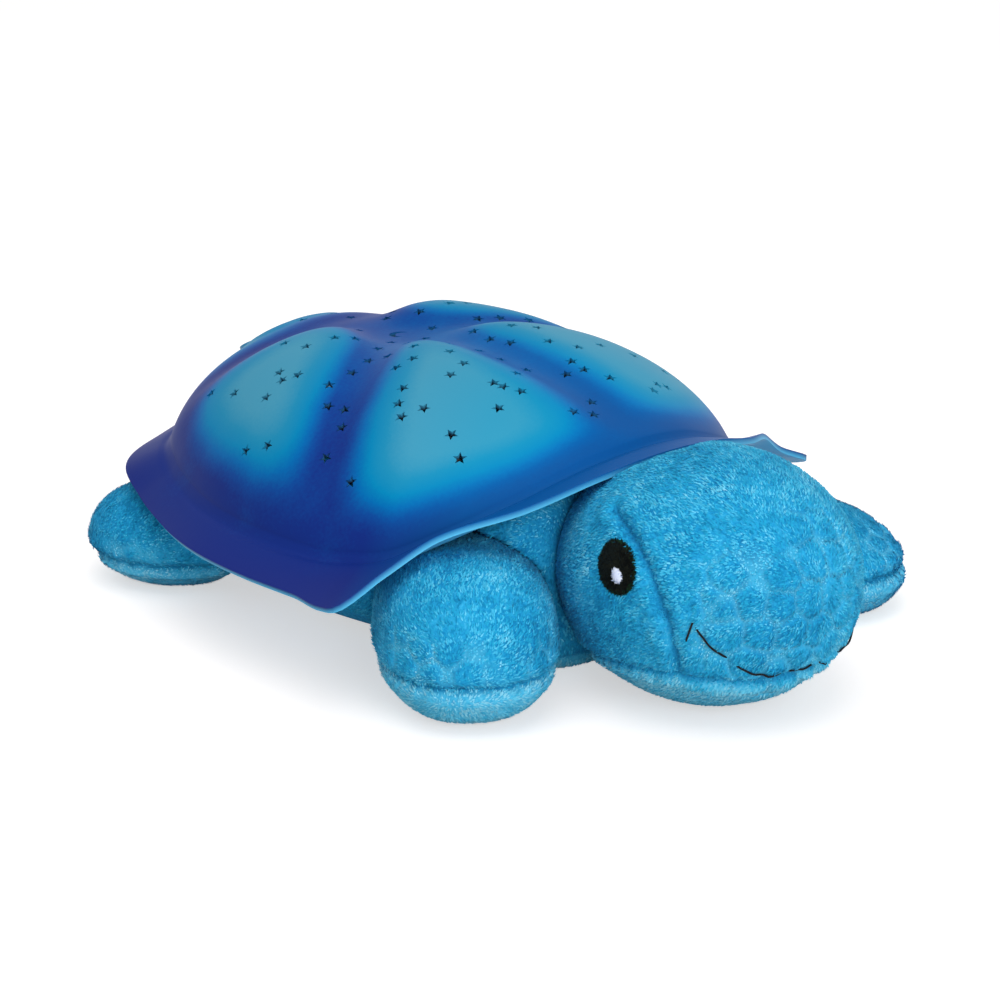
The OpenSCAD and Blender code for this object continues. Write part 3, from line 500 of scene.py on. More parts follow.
wander = add(tree, "Math", {0: grain, 1: 0.08, 2: wander}, operation="MULTIPLY_ADD").outputs[0]
# The front plates and the front of the brim are coloured a lighter, greener blue than those at the rear.
rear_plates = add(tree, "ValToRGB", {"Fac": wander}, stops=(
    (0.02, "#122c7c"), (0.14, "#0b4592"), (0.28, "#0064a8"),
    (0.46, "#007fb0"), (0.68, "#1c86ae"), (0.90, "#4192b0"),
)).outputs["Color"]
front_plates = add(tree, "ValToRGB", {"Fac": wander}, stops=(
    (0.02, "#085094"), (0.14, "#025aa0"), (0.28, "#006fb0"),
    (0.46, "#0083b6"), (0.68, "#108ab4"), (0.90, "#3092b4"),
)).outputs["Color"]
plates = add(tree, "Mix", {0: front, 6: rear_plates, 7: front_plates}, data_type="RGBA").outputs[2]
brims = add(tree, "Mix", {0: front, 6: rgb("#182977"), 7: rgb("#045398")}, data_type="RGBA").outputs[2]
paint = add(tree, "Mix", {0: brim, 6: plates, 7: brims}, data_type="RGBA").outputs[2]
# Unpainted places: light blue on the rim and under the brim, pale enough to be a painted highlight on the
# rim, and dark brown inside the dome as painted shade.
bare_lit_rim_and_inner_shade = add(tree, "Mix", {0: inside, 6: rgb("#55b8e4"), 7: rgb("#3a2d29")}, data_type="RGBA").outputs[2]
colour = add(tree, "Mix", {0: outside, 6: bare_lit_rim_and_inner_shade, 7: paint}, data_type="RGBA").outputs[2]
tree.links.new(colour, shader.inputs["Base Color"])
peel = add(tree, "TexNoise", {"Vector": place, "Scale": 420, "Detail": 1}).outputs["Fac"]
peel = add(tree, "Bump", {"Height": peel, "Strength": 0.05, "Distance": 0.0004}).outputs["Normal"]
tree.links.new(peel, shader.inputs["Normal"])
shell.data.materials.clear()
shell.data.materials.append(painted)
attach(shell, "turtle")
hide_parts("shell")
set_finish(shell, "painted_shell")

# ---- Control panel, buttons, lamp housing and door ---------------------------------------------
# Moulded ABS parts. Each is the CAD part with its edges broken by 0.2 mm, as a mould leaves them.


def plastic(name, colour, roughness=0.4, grain=0.12):
    """Moulded ABS with the fine spark texture of its mould, about 0.4 mm across."""
    made, tree, shader = new_material(name, Roughness=roughness, IOR=1.5)
    place = add(tree, "TexCoord").outputs["Object"]
    spark = add(tree, "TexNoise", {"Vector": place, "Scale": 2400, "Detail": 2}).outputs["Fac"]
    flow = add(tree, "TexNoise", {"Vector": place, "Scale": 60, "Detail": 2}).outputs["Fac"]
    light, dark = rgb(colour), tuple(c * 0.86 for c in rgb(colour)[:3]) + (1,)
    tint = add(tree, "Mix", {0: flow, 6: light, 7: dark}, data_type="RGBA").outputs[2]
    tree.links.new(tint, shader.inputs["Base Color"])
    bump = add(tree, "Bump", {"Height": spark, "Strength": grain, "Distance": 0.0002}).outputs["Normal"]
    tree.links.new(bump, shader.inputs["Normal"])
    return made


def metal(name, colour, roughness=0.3):
    """Plated or brushed metal with fine drawing marks about 0.3 mm apart."""
    made, tree, shader = new_material(name, Metallic=1.0, Roughness=roughness)
    place = add(tree, "TexCoord").outputs["Object"]
    marks = add(tree, "TexNoise", {"Vector": place, "Scale": 3200, "Detail": 2}).outputs["Fac"]
    spread = {"Value": marks, "To Min": roughness - 0.08, "To Max": roughness + 0.12}
    rough = add(tree, "MapRange", spread).outputs["Result"]
    tree.links.new(rough, shader.inputs["Roughness"])
    tarnish = add(tree, "TexNoise", {"Vector": place, "Scale": 240, "Detail": 3}).outputs["Fac"]
    dull = tuple(c * 0.8 for c in rgb(colour)[:3]) + (1,)
    tint = add(tree, "Mix", {0: tarnish, 6: rgb(colour), 7: dull}, data_type="RGBA").outputs[2]
    tree.links.new(tint, shader.inputs["Base Color"])
    return made


finishes = {
    "panel_plastic": plastic("blue_moulded_ABS", "#2065b4", 0.36),
    "power_cap": plastic("white_moulded_ABS", "#eeeeea", 0.35),
    "green_cap": plastic("teal_moulded_ABS", "#1c86b0", 0.35),
    "blue_cap": plastic("blue_button_ABS", "#2558b8", 0.35),
    "amber_cap": plastic("sky_moulded_ABS", "#3f9fd0", 0.35),
    "switch_black": plastic("black_nylon", "#2a2a2c", 0.5),
    "circuit_board": plastic("green_solder_mask", "#1f6b3a", 0.3, 0.05),
    "screw_steel": metal("zinc_plated_steel", "#b9bdc2", 0.32),
    "plug_nylon": plastic("natural_nylon", "#ece8dc", 0.45),
    "lamp_housing": plastic("white_housing_ABS", "#e4e8ec", 0.45),
    "light_deck_white": plastic("white_reflector_ABS", "#f2f2ee", 0.5),
    "green_lens": plastic("green_epoxy", "#7be08a", 0.12, 0.0),
    "blue_lens": plastic("blue_epoxy", "#6f9bff", 0.12, 0.0),
    "amber_lens": plastic("amber_epoxy", "#ffbf5a", 0.12, 0.0),
    "chip_black": plastic("moulded_epoxy", "#232326", 0.55),
    "capacitor_can": metal("drawn_aluminium", "#c9cdd2", 0.3),
    "cable_jacket": plastic("grey_PVC", "#41454c", 0.5),
    "cell_sleeve": metal("printed_cell_sleeve", "#8d9197", 0.35),
    "contact_nickel": metal("nickel_plated_spring_steel", "#cfd2d6", 0.25),
    "insert_brass": metal("turned_brass", "#c9a24a", 0.28),
}
slot_of = {part["node"]: part["material_slot"] for part in frame["record"]["subparts"]}
for name, piece in frame["nodes"].items():
    if slot_of[name] in finishes:
        piece.data.materials.clear()
        piece.data.materials.append(finishes[slot_of[name]])


def copied(name, node, *moves):
    """A copy of a CAD part with the loose triangles of its mesh merged, and then these moves made on it."""
    made = bpy.data.objects.new(name, frame["nodes"][node].data.copy())
    bpy.context.collection.objects.link(made)
    merge = (bpy.ops.mesh.remove_doubles, {"threshold": 0.004 * MM})
    edit(made, "FACE", lambda f: True, merge, *moves)
    return made


def broken_edges(name, node, width):
    """A moulded CAD part with its edges broken and its round faces smooth."""
    made = copied(name, node, (bpy.ops.mesh.dissolve_limited, {"angle_limit": math.radians(1)}))
    finish_with(
        made, "BEVEL", width=width * MM, segments=2, limit_method="ANGLE", angle_limit=math.radians(40)
    )
    bpy.ops.object.shade_smooth_by_angle(angle=math.radians(35))
    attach(made, frame["nodes"][node]["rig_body"])
    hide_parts(node)
    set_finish(made, slot_of[node])
    return made


broken_edges("panel_plate", "panel", 0.35)
for tint in ("power", "green", "blue", "amber"):
    broken_edges(tint + "_cap", tint + "_button", 0.12)
broken_edges("door_plate", "battery_door", 0.25)
for side in ("left", "right"):
    broken_edges(side + "_door_screw_steel", side + "_door_screw", 0.08)

# ---- Plush -------------------------------------------------------------------------------------
# The body, head, tail and flippers are sewn from 3 mm pile minky over polyester filling. Each is the CAD
# form blown up as cloth by its filling, and the head and flippers are then drawn in along their seams.
seam_depth = 1.8
seam_width = 1.7
settling_steps = 16


def unrest(places, size):
    """Slow unevenness from -1 to 1, about so many millimetres across, that repeats nowhere."""
    turned = places @ np.array([[0.80, 0.36, -0.48], [-0.60, 0.48, -0.64], [0.0, 0.80, 0.60]]) / size
    x, y, z = turned.T
    wave = np.sin(2.1 * x + 1.3 * np.sin(1.7 * y + 0.4)) + np.sin(2.3 * y + 1.5 * np.sin(1.9 * z + 1.1))
    return (wave + np.sin(1.9 * z + 1.4 * np.sin(2.2 * x + 2.6))) / 3


def stuffed(name, node, cell=3.0, pressure=4.0, cap=2.0, levels=1):
    """The CAD solid as sewn cloth: remeshed, blown up a little, kept within cap of the solid."""
    made = copied(name, node)
    made.data.materials.clear()
    finish_with(made, "REMESH", mode="VOXEL", voxel_size=cell * MM, use_smooth_shade=True)
    finish_with(made, "SMOOTH", factor=0.5, iterations=4)
    held = places_of(made.data)
    cloth = made.modifiers.new("Filling", "CLOTH")
    fabric = cloth.settings
    fabric.quality = 5
    fabric.mass = 0.02
    fabric.tension_stiffness = 12
    fabric.compression_stiffness = 6
    fabric.shear_stiffness = 4
    fabric.bending_stiffness = 0.4
    fabric.use_pressure = True
    fabric.uniform_pressure_force = pressure
    fabric.shrink_min = -0.02
    fabric.effector_weights.gravity = 0
    for step in range(1, settling_steps + 1):
        bpy.context.scene.frame_set(step)
    bpy.ops.object.modifier_apply(modifier=cloth.name)
    blown = places_of(made.data)
    moved = blown - held
    moved -= moved.mean(0)
    far = np.linalg.norm(moved, axis=1, keepdims=True)
    put_places(made.data, held + moved * np.minimum(1, cap / np.maximum(far, 1e-6)))
    finish_with(made, "SMOOTH", factor=0.5, iterations=3)
    finish_with(made, "SUBSURF", levels=levels, render_levels=levels)
    sitting = places_of(made.data)
    sitting[:, 2] = np.maximum(sitting[:, 2], 0)
    put_places(made.data, sitting)
    return made


def normals_of(mesh):
    flat = np.zeros(len(mesh.vertices) * 3, np.float32)
    mesh.vertices.foreach_get("normal", flat)
    return flat.reshape(-1, 3).astype(float)


def sew(piece, to_seam):
    """Draws the cloth in along a seam that lies to_seam millimetres away, and puffs it up beside it."""
    spots = places_of(piece.data)
    wave = np.sin(spots @ np.array([1.1, 1.3, 0.9]))
    draw = -seam_depth * np.exp(-((to_seam / seam_width) ** 2))
    puff = 0.35 * seam_depth * np.exp(-(((to_seam - 4.5) / 2.5) ** 2))
    pucker = 0.25 * seam_depth * np.exp(-((to_seam / 4) ** 2)) * wave
    spots += normals_of(piece.data) * (draw + puff + pucker)[:, None]
    spots[:, 2] = np.maximum(spots[:, 2], 0)
    put_places(piece.data, spots)


def near_line(spots, line):
    """The distance from each spot to a line of points."""
    tree = KDTree(len(line))
    for i, point in enumerate(line):
        tree.insert(point, i)
    tree.balance()
    return np.array([tree.find(spot)[2] for spot in spots])


# Minky: polyester pile with a soft sheen, deep blue between the tufts, paler on the under panels, partly as
# painted bounce light from the floor, and darker in the seams as painted shade.
minky, tree, shader = new_material(
    "minky_pile", Roughness=0.85, IOR=1.45, Sheen_Weight=0.12, Sheen_Roughness=0.45,
    Sheen_Tint=rgb("#7fcfee"), Specular_IOR_Level=0.1,
)
place = add(tree, "TexCoord").outputs["Object"]
soft = add(tree, "TexNoise", {"Vector": place, "Scale": 70, "Detail": 3}).outputs["Fac"]
fine = {"Vector": place, "Scale": 900, "Detail": 3, "Roughness": 0.65}
tuft = add(tree, "TexNoise", fine).outputs["Fac"]
tone = add(tree, "Math", {0: soft, 1: 0.45}, operation="MULTIPLY").outputs[0]
tone = add(tree, "Math", {0: tuft, 1: 0.55, 2: tone}, operation="MULTIPLY_ADD").outputs[0]
top = add(tree, "ValToRGB", {"Fac": tone}, stops=(
    (0.30, "#0b6499"), (0.47, "#168ec4"), (0.60, "#2ba6d8"), (0.75, "#52bee6"),
)).outputs["Color"]
under = add(tree, "ValToRGB", {"Fac": tone}, stops=(
    (0.30, "#2796c9"), (0.50, "#46b8e2"), (0.72, "#74d0ef"),
)).outputs["Color"]
colour = top
# The seam colour is painted shade in the seam's crease. The under colour is the paler panel, lightened
# further as painted bounce light.
for share, tint in (("under", under), ("pressed", rgb("#4db4da")), ("seam_and_shade", rgb("#156a9e"))):
    share = add(tree, "Attribute", attribute_name=share).outputs["Fac"]
    colour = add(tree, "Mix", {0: share, 6: colour, 7: tint}, data_type="RGBA").outputs[2]
tree.links.new(colour, shader.inputs["Base Color"])
nap = add(tree, "Bump", {"Height": tuft, "Strength": 0.6, "Distance": 0.0008}).outputs["Normal"]
tree.links.new(nap, shader.inputs["Normal"])


def dress(piece, seam_and_shade, under, pressed=None):
    """Writes where the seams, under panel and pressed lines are, and gives the piece its cloth."""
    # The seam mask darkens the cloth as painted shade. The under panel mask lightens it, partly as painted
    # bounce light.
    write_attribute(piece.data, "seam_and_shade", 0.6 * seam_and_shade)
    write_attribute(piece.data, "under", under)
    write_attribute(piece.data, "pressed", 0.7 * pressed if pressed is not None else 0 * seam_and_shade)
    piece.data.materials.append(minky)
    take(piece)
    bpy.ops.object.shade_smooth()
    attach(piece, "turtle")
    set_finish(piece, "plush")


def step_up(value, low, high):
    t = np.clip((value - low) / (high - low), 0, 1)
    return t * t * (3 - 2 * t)


def scales(spots, size):
    """1 on the pressed lines between rounded scales of that size, 0 within a scale."""
    rng = np.random.default_rng(7)
    low, high = spots.min(0) - size, spots.max(0) + size
    seeds = []
    for k, z in enumerate(np.arange(low[2], high[2], 0.87 * size)):
        for j, y in enumerate(np.arange(low[1], high[1], size)):
            for x in np.arange(low[0], high[0], size):
                seeds.append([x + (j % 2 + k % 2) * size / 2, y + (k % 2) * size / 3, z])
    seeds = np.array(seeds) + rng.uniform(-0.16, 0.16, (len(seeds), 3)) * size
    tree = KDTree(len(seeds))
    for i, seed in enumerate(seeds):
        tree.insert(seed, i)
    tree.balance()
    first, second = np.array([[hit[2] for hit in tree.find_n(spot, 2)] for spot in spots]).T
    return np.exp(-(((second - first) / 1.6) ** 2))


# Flippers: a top and an under panel, sewn together low round the edge at these heights, with the under
# panel paler, partly as painted bounce light from the floor. The top has rounded scales heat-pressed into
# its pile, just above the seam.
FLIPPERS = {
    "front_right_flipper": 17,
    "front_left_flipper": 15,
    "rear_right_flipper": 11,
    "rear_left_flipper": 11,
}
paw_scale = 9
paw_press = 0.8       # how deep the lines between the scales are pressed
plush = {}
for node, seam_z in FLIPPERS.items():
    piece = stuffed(node.replace("flipper", "paw"), node, levels=2 if "front" in node else 1)
    spots = places_of(piece.data)
    level = spots[:, 2] - seam_z
    sideways = 1 - np.abs(normals_of(piece.data)[:, 2])
    reach_seam = np.abs(level) + 6 * step_up(0.45 - sideways, 0, 0.3)
    sew(piece, reach_seam)
    pressed = scales(spots, paw_scale) * step_up(0.5 - np.abs(level - 9) / 18, 0, 0.3)
    pressed *= step_up(unrest(spots, 22), -0.4, 0.2)
    spots = places_of(piece.data) - normals_of(piece.data) * (paw_press * pressed)[:, None]
    put_places(piece.data, np.maximum(spots, [-1e9, -1e9, 0]))
    dress(piece, np.exp(-((reach_seam / 1.2) ** 2)), step_up(-level, 0.2, 1.2), pressed)
    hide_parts(node)
    plush[node] = piece

# Head: three panels. A chin seam runs right round below the mouth, and a brow seam on each side comes
# down in front of the eye to meet it.
head_middle = np.array([0, -90.5, 40.3])
head_half = np.array([45.5, 50.5, 40.5])
snout_scale = 11
snout_press = 1.4
head = stuffed("head_plush", "head", pressure=0.8, levels=2)


def to_face(side, up):
    """The direction from the middle of the head: side from the nose towards the turtle's right."""
    side, up = np.radians(side), np.radians(up)
    return np.stack([-np.cos(up) * np.sin(side), -np.cos(up) * np.cos(side), np.sin(up)], -1)


def on_head(side, up):
    way = to_face(side, up)
    return head_middle + way / np.linalg.norm(way / head_half, axis=-1, keepdims=True)


def line_on_head(points, steps):
    """A smooth line on the head through (side, up) points."""
    points = np.array(points, float)
    knots = np.concatenate([[0], np.cumsum(np.linalg.norm(np.diff(points, axis=0), axis=1))])
    run = np.linspace(0, knots[-1], steps)
    side, up = np.interp(run, knots, points[:, 0]), np.interp(run, knots, points[:, 1])
    return on_head(side, up)


# The seams, as (side, up) angles on the turtle's right. The left side mirrors them.
BROW = [(104, 38), (92, 34), (81, 28), (72, 20), (66, 10), (61, -2), (59, -14), (58, -25)]
CHIN = [(0, -26), (17, -27), (35, -28), (58, -25), (80, -27), (110, -30), (140, -33), (180, -35)]
seam_lines = []
for turn in (1, -1):
    seam_lines.append(line_on_head([(turn * side, up) for side, up in BROW], 120))
    seam_lines.append(line_on_head([(turn * side, up) for side, up in CHIN], 260))
seam_points = np.concatenate(seam_lines)
way = places_of(head.data) - head_middle
on_form = head_middle + way / np.linalg.norm(way / head_half, axis=1, keepdims=True)
to_seam = near_line(on_form, seam_points)
sew(head, to_seam)
spots = places_of(head.data)
way = spots - head_middle
snout = step_up((way / np.linalg.norm(way, axis=1, keepdims=True)) @ to_face(8, 2), 0.62, 0.86)
pressed = scales(spots, snout_scale) * snout * step_up(unrest(spots, 25), -0.9, -0.2)
spots = spots - normals_of(head.data) * (snout_press * pressed)[:, None]
put_places(head.data, np.maximum(spots, [-1e9, -1e9, 0]))
side_of = np.degrees(np.arctan2(-way[:, 0], -way[:, 1]))
up_of = np.degrees(np.arctan2(way[:, 2], np.hypot(way[:, 0], way[:, 1])))
chin_at = np.interp(np.abs(side_of), [p[0] for p in CHIN], [p[1] for p in CHIN])
# The chin panel is paler, partly as painted bounce light, and the seams are darker as painted shade.
dress(head, np.exp(-((to_seam / 1.1) ** 2)), step_up(chin_at - up_of, 0.5, 3), pressed)
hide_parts("head")
plush["head"] = head

# Body: one panel round the lamp tray and one below it, with the neck sewn in at the front. The cloth
# stands up round the tray as a soft hem against the inside of the shell and keeps the light in.
belly_seam = 9
hem_rise = 40
rear_swell = 12
body = stuffed("body_plush", "torso", pressure=0.5, cap=1.0)
spots = places_of(body.data)
lid = shell_height(spots[:, :2] - [0, shell_y]) - shell_wall - 1.2
from_lamp = np.hypot(spots[:, 0], spots[:, 1] - lamp_y)
facing_up = step_up(normals_of(body.data)[:, 2], -0.1, 0.35) * (spots[:, 2] > 18)
at_switches = step_up(spots[:, 1], 95, 105) * step_up(30 - np.abs(spots[:, 0]), 0, 6)
hem = step_up(from_lamp, 69.3, 71.5) * (1 - step_up(from_lamp, 80, 86))
hem *= hem_rise - 32 * at_switches
swell = step_up(from_lamp, 69.3, 72) * step_up(spots[:, 1], 20, 60) * rear_swell
spots[:, 2] += np.clip(lid - spots[:, 2], 0, np.maximum(hem, swell)) * facing_up
put_places(body.data, spots)
over_seam = spots[:, 2] - belly_seam
dress(body, np.exp(-((over_seam / 1.2) ** 2)), step_up(-over_seam, 0.2, 2))
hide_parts("torso")
plush["torso"] = body

# Tail: a small stuffed point under the rear of the shell.
tail = stuffed("tail_plush", "tail", cell=1.6, cap=1.0)
spots = places_of(tail.data)
dress(tail, np.zeros(len(spots)), step_up(8 - spots[:, 2], 0, 2))
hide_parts("tail")
plush["tail"] = tail

# ---- Pile --------------------------------------------------------------------------------------
# The pile stands on the cloth as thousands of fine tufts, each a thin bent leaf of fibres, brushed back
# from the nose and up the flippers. A tuft is drawn as wide as some forty fibres, so that it shows.


def fibres(name, colour, roughness=0.8, sheen=0.12):
    """Polyester fibre ends: matt, with a soft sheen where they are seen from the side."""
    made, _, shader = new_material(
        name, Roughness=roughness, IOR=1.5, Sheen_Weight=sheen, Sheen_Roughness=0.5,
        Sheen_Tint=rgb("#7fd0f0"), Specular_IOR_Level=0.05,
    )
    shader.inputs["Base Color"].default_value = rgb(colour)
    return made


blue_tufts = [
    fibres("tuft_root_blue", "#0f70a2"),
    fibres("tuft_deep_blue", "#1486b8"),
    fibres("tuft_mid_blue", "#23a3d2"),
    fibres("tuft_light_blue", "#42b9e2"),
    fibres("tuft_pale_blue", "#66cbec"),
    fibres("tuft_tip_blue", "#88d8f2"),
]


off_floor = 0.05


def values_of(mesh, name):
    flat = np.zeros(len(mesh.vertices), np.float32)
    mesh.attributes[name].data.foreach_get("value", flat)
    return flat


def pile(name, piece, flow, tufts, keep, spacing=0.72, length=1.6, width=0.5, swirl=35, seed=1):
    """Tufts all over a piece where keep(roots) is true, brushed along flow(roots).

    A tuft is a bent leaf of one four-sided and one three-sided face that starts a little under the cloth.
    It is shorter on pressed lines and in seams, paler on under panels, partly as painted bounce light, and
    deeper blue in the seams as painted shade.
    """
    rng = np.random.default_rng(seed)
    mesh = piece.data
    mesh.calc_loop_triangles()
    corners = np.zeros(len(mesh.loop_triangles) * 3, np.int32)
    mesh.loop_triangles.foreach_get("vertices", corners)
    corners = corners.reshape(-1, 3)
    spots, normals = places_of(mesh), normals_of(mesh)
    a, b, c = (spots[corners[:, i]] for i in range(3))
    area = np.linalg.norm(np.cross(b - a, c - a), axis=1) / 2
    chosen = rng.choice(len(area), int(area.sum() / spacing**2), p=area / area.sum())
    share = rng.dirichlet((1, 1, 1), len(chosen))
    corners = corners[chosen]
    root = (spots[corners] * share[..., None]).sum(1)
    kept = keep(root)
    corners, share, root = corners[kept], share[kept], root[kept]
    n = len(root)
    normal = (normals[corners] * share[..., None]).sum(1)
    normal /= np.linalg.norm(normal, axis=1, keepdims=True)
    seam_and_shade, under, pressed = (
        (values_of(mesh, field)[corners] * share).sum(1) for field in ("seam_and_shade", "under", "pressed")
    )
    along = flow(root)
    along = along - (along * normal).sum(1, keepdims=True) * normal + 1e-6
    along /= np.linalg.norm(along, axis=1, keepdims=True)
    across = np.cross(normal, along)
    turn = np.radians(swirl * unrest(root, 14) + rng.normal(0, 20, n))[:, None]
    along = along * np.cos(turn) + across * np.sin(turn)
    across = np.cross(normal, along)
    size = (length * rng.uniform(0.7, 1.25, n) * (1 - 0.8 * pressed) * (1 - 0.8 * seam_and_shade))[:, None]
    wide = (width * rng.uniform(0.7, 1.2, n))[:, None]
    rise = np.radians(rng.uniform(8, 24, n))[:, None]
    lower = root - 0.25 * normal
    middle = root + 0.55 * size * (np.cos(rise) * along + np.sin(rise) * normal)
    tip = middle + 0.5 * size * (np.cos(0.45 * rise) * along + np.sin(0.45 * rise) * normal)
    leaf = np.stack([lower + 0.4 * wide * across, lower - 0.4 * wide * across,
                     middle - 0.5 * wide * across, middle + 0.5 * wide * across, tip], 1)
    leaf[..., 2] = np.maximum(leaf[..., 2], off_floor)
    made = bpy.data.objects.new(name, bpy.data.meshes.new(name))
    bpy.context.collection.objects.link(made)
    first = 5 * np.arange(n)[:, None]
    quads, points = first + [0, 1, 2, 3], first + [3, 2, 4]
    made.data.vertices.add(5 * n)
    made.data.vertices.foreach_set("co", (leaf * MM).astype(np.float32).ravel())
    made.data.loops.add(7 * n)
    made.data.loops.foreach_set("vertex_index", np.hstack([quads, points]).astype(np.int32).ravel())
    made.data.polygons.add(2 * n)
    starts = (7 * np.arange(n)[:, None] + [0, 4]).ravel()
    made.data.polygons.foreach_set("loop_start", starts.astype(np.int32))
    tone = 0.48 + 0.14 * unrest(root, 3) + 0.12 * unrest(root, 9) + 0.08 * unrest(root, 30)
    # Tufts are lightened on under panels, partly as painted bounce light, and darkened in seams as painted
    # shade.
    tone = tone + rng.normal(0, 0.08, n) + 0.34 * pressed + 0.3 * under - 0.4 * seam_and_shade
    index = np.clip((tone * len(tufts)).astype(int), 0, len(tufts) - 1)
    made.data.polygons.foreach_set("material_index", np.repeat(index, 2).astype(np.int32))
    for tuft in tufts:
        made.data.materials.append(tuft)
    made.data.update(calc_edges=True)
    take(made)
    bpy.ops.object.shade_smooth()
    facing = normal + 0.15 * along + rng.normal(0, 0.16, (n, 3))
    facing /= np.linalg.norm(facing, axis=1, keepdims=True)
    made.data.normals_split_custom_set_from_vertices(np.repeat(facing, 5, axis=0))
    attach(made, "turtle")
    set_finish(made, piece["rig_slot"])
    return made


eye_middle = (87, 17)    # side and up, as seen from the middle of the head
eye_width = 14
eye_height = 17.6
eye_lean = math.radians(40)


def beside_eye(spots):
    """How far spots are from the nearer eye's middle: 1 at its edge."""
    spots = np.abs(spots * [1, 0, 0]) * [-1, 0, 0] + spots * [0, 1, 1]
    out = to_face(*eye_middle)
    right = to_face(eye_middle[0] - 90, 0)
    up = np.cross(out, right)
    gap = spots - on_head(*eye_middle)
    a, b = gap @ right, gap @ up
    along = a * math.cos(eye_lean) + b * math.sin(eye_lean)
    tall = b * math.cos(eye_lean) - a * math.sin(eye_lean)
    out_of_reach = np.abs(gap @ out) > 8
    return np.hypot(along / (eye_width / 2), tall / (eye_height / 2)) + 9 * out_of_reach


def in_the_open(spots):
    """True off the floor, clear of the shell and outside the lamp's recess."""
    place = spots[:, :2] - [0, shell_y]
    bearing = np.degrees(np.arctan2(-place[:, 0], -place[:, 1]))
    below_shell = np.linalg.norm(place, axis=1) < round_shell(bearing)[0]
    close = below_shell & (spots[:, 2] > shell_height(place) - shell_wall - 2.4)
    in_recess = (np.linalg.norm(spots[:, :2] - [0, lamp_y], axis=1) < 73) & (spots[:, 2] > 4)
    return (spots[:, 2] > 0.7) & ~close & ~in_recess


def back_from_nose(spots):
    flow = spots - (head_middle + [0, -75, 8])
    return flow / np.linalg.norm(flow, axis=1, keepdims=True) + [0, 0, -0.45]


pile("head_pile", head, back_from_nose, blue_tufts,
     lambda s: in_the_open(s) & (beside_eye(s) > 0.95), seed=11)
for i, node in enumerate(FLIPPERS):
    tip_way = np.array([0.75 if "right" in node else -0.75, 0.55 if "front" in node else -0.55, 0.5])
    pile(node.replace("flipper", "paw_pile"), plush[node], lambda s: np.tile(tip_way, (len(s), 1)),
         blue_tufts, in_the_open, seed=21 + i)
pile("body_pile", body, lambda s: np.tile([0.0, 0.8, -0.6], (len(s), 1)), blue_tufts, in_the_open,
     spacing=0.95, seed=31)
pile("tail_pile", tail, lambda s: np.tile([0.0, 0.9, -0.3], (len(s), 1)), blue_tufts, in_the_open,
     seed=32)

# ---- Eyes --------------------------------------------------------------------------------------
# Dense black chenille embroidery with a dark green edge and a white highlight of satin stitch. The
# edge is uneven, because the loops are cut.
thread_black, tree, shader = new_material("black_chenille", Roughness=0.9, Specular_IOR_Level=0.1)
place = add(tree, "TexCoord").outputs["Object"]
loops = add(tree, "TexNoise", {"Vector": place, "Scale": 1500, "Detail": 2}).outputs["Fac"]
loop_tones = ((0.35, "#050605"), (0.7, "#1a1f18"))
colour = add(tree, "ValToRGB", {"Fac": loops}, stops=loop_tones).outputs["Color"]
tree.links.new(colour, shader.inputs["Base Color"])
thread_white, tree, shader = new_material("white_satin_stitch", Roughness=0.55, Sheen_Weight=0.1)
place = add(tree, "TexCoord").outputs["Object"]
bands = {"Vector": place, "Scale": 900, "Distortion": 1.5}
strands = add(tree, "TexWave", bands, bands_direction="Z").outputs["Fac"]
satin_tones = ((0.0, "#a9bbe2"), (0.6, "#dde7fa"))
colour = add(tree, "ValToRGB", {"Fac": strands}, stops=satin_tones).outputs["Color"]
tree.links.new(colour, shader.inputs["Base Color"])
black_tufts = [
    fibres("chenille_black", "#060706", 0.9, 0.05),
    fibres("chenille_soot", "#121511", 0.9, 0.05),
]
green_tufts = [
    fibres("chenille_green", "#12301a", 0.9, 0.1),
    fibres("chenille_dark_green", "#0a1c10", 0.9, 0.1),
]
white_tufts = [
    fibres("satin_blue_white", "#b4c4e8", 0.6),
    fibres("satin_white", "#e2eafb", 0.6),
]
head_tree = BVHTree.FromPolygons(
    [v.co[:] for v in head.data.vertices], [p.vertices[:] for p in head.data.polygons]
)


def on_cloth(side, up, across, tall, out):
    """The point so far across and up from a place on the head, and out from its cloth."""
    way = to_face(side, up)
    right = to_face(side - 90, 0)
    aim = on_head(side, up) + across * right + tall * np.cross(way, right)
    ray = Vector(aim - head_middle).normalized()
    hit, _, _, _ = head_tree.ray_cast(Vector(head_middle) * MM, ray)
    return np.array(hit) / MM + out * np.array(ray)


def ball_of_rings(sides=40, rings=15):
    """The corners and faces of a ball, from pole to pole.

    The corners of Blender's own ball come in another order each run, and that would move the tufts on it.
    """
    spots, faces = [(0, 0, 1)], []
    for ring in range(1, rings + 1):
        tilt = math.pi * ring / (rings + 1)
        first = len(spots)
        for side in range(sides):
            turn = 2 * math.pi * side / sides
            across = math.sin(tilt)
            spots.append((across * math.cos(turn), across * math.sin(turn), math.cos(tilt)))
            a, b = first + side, first + (side + 1) % sides
            faces.append((a, b, 0) if ring == 1 else (a, b, b - sides, a - sides))
    spots.append((0, 0, -1))
    faces += [(b, a, len(spots) - 1) for a, b, *_ in faces[-sides:]]
    return spots, faces


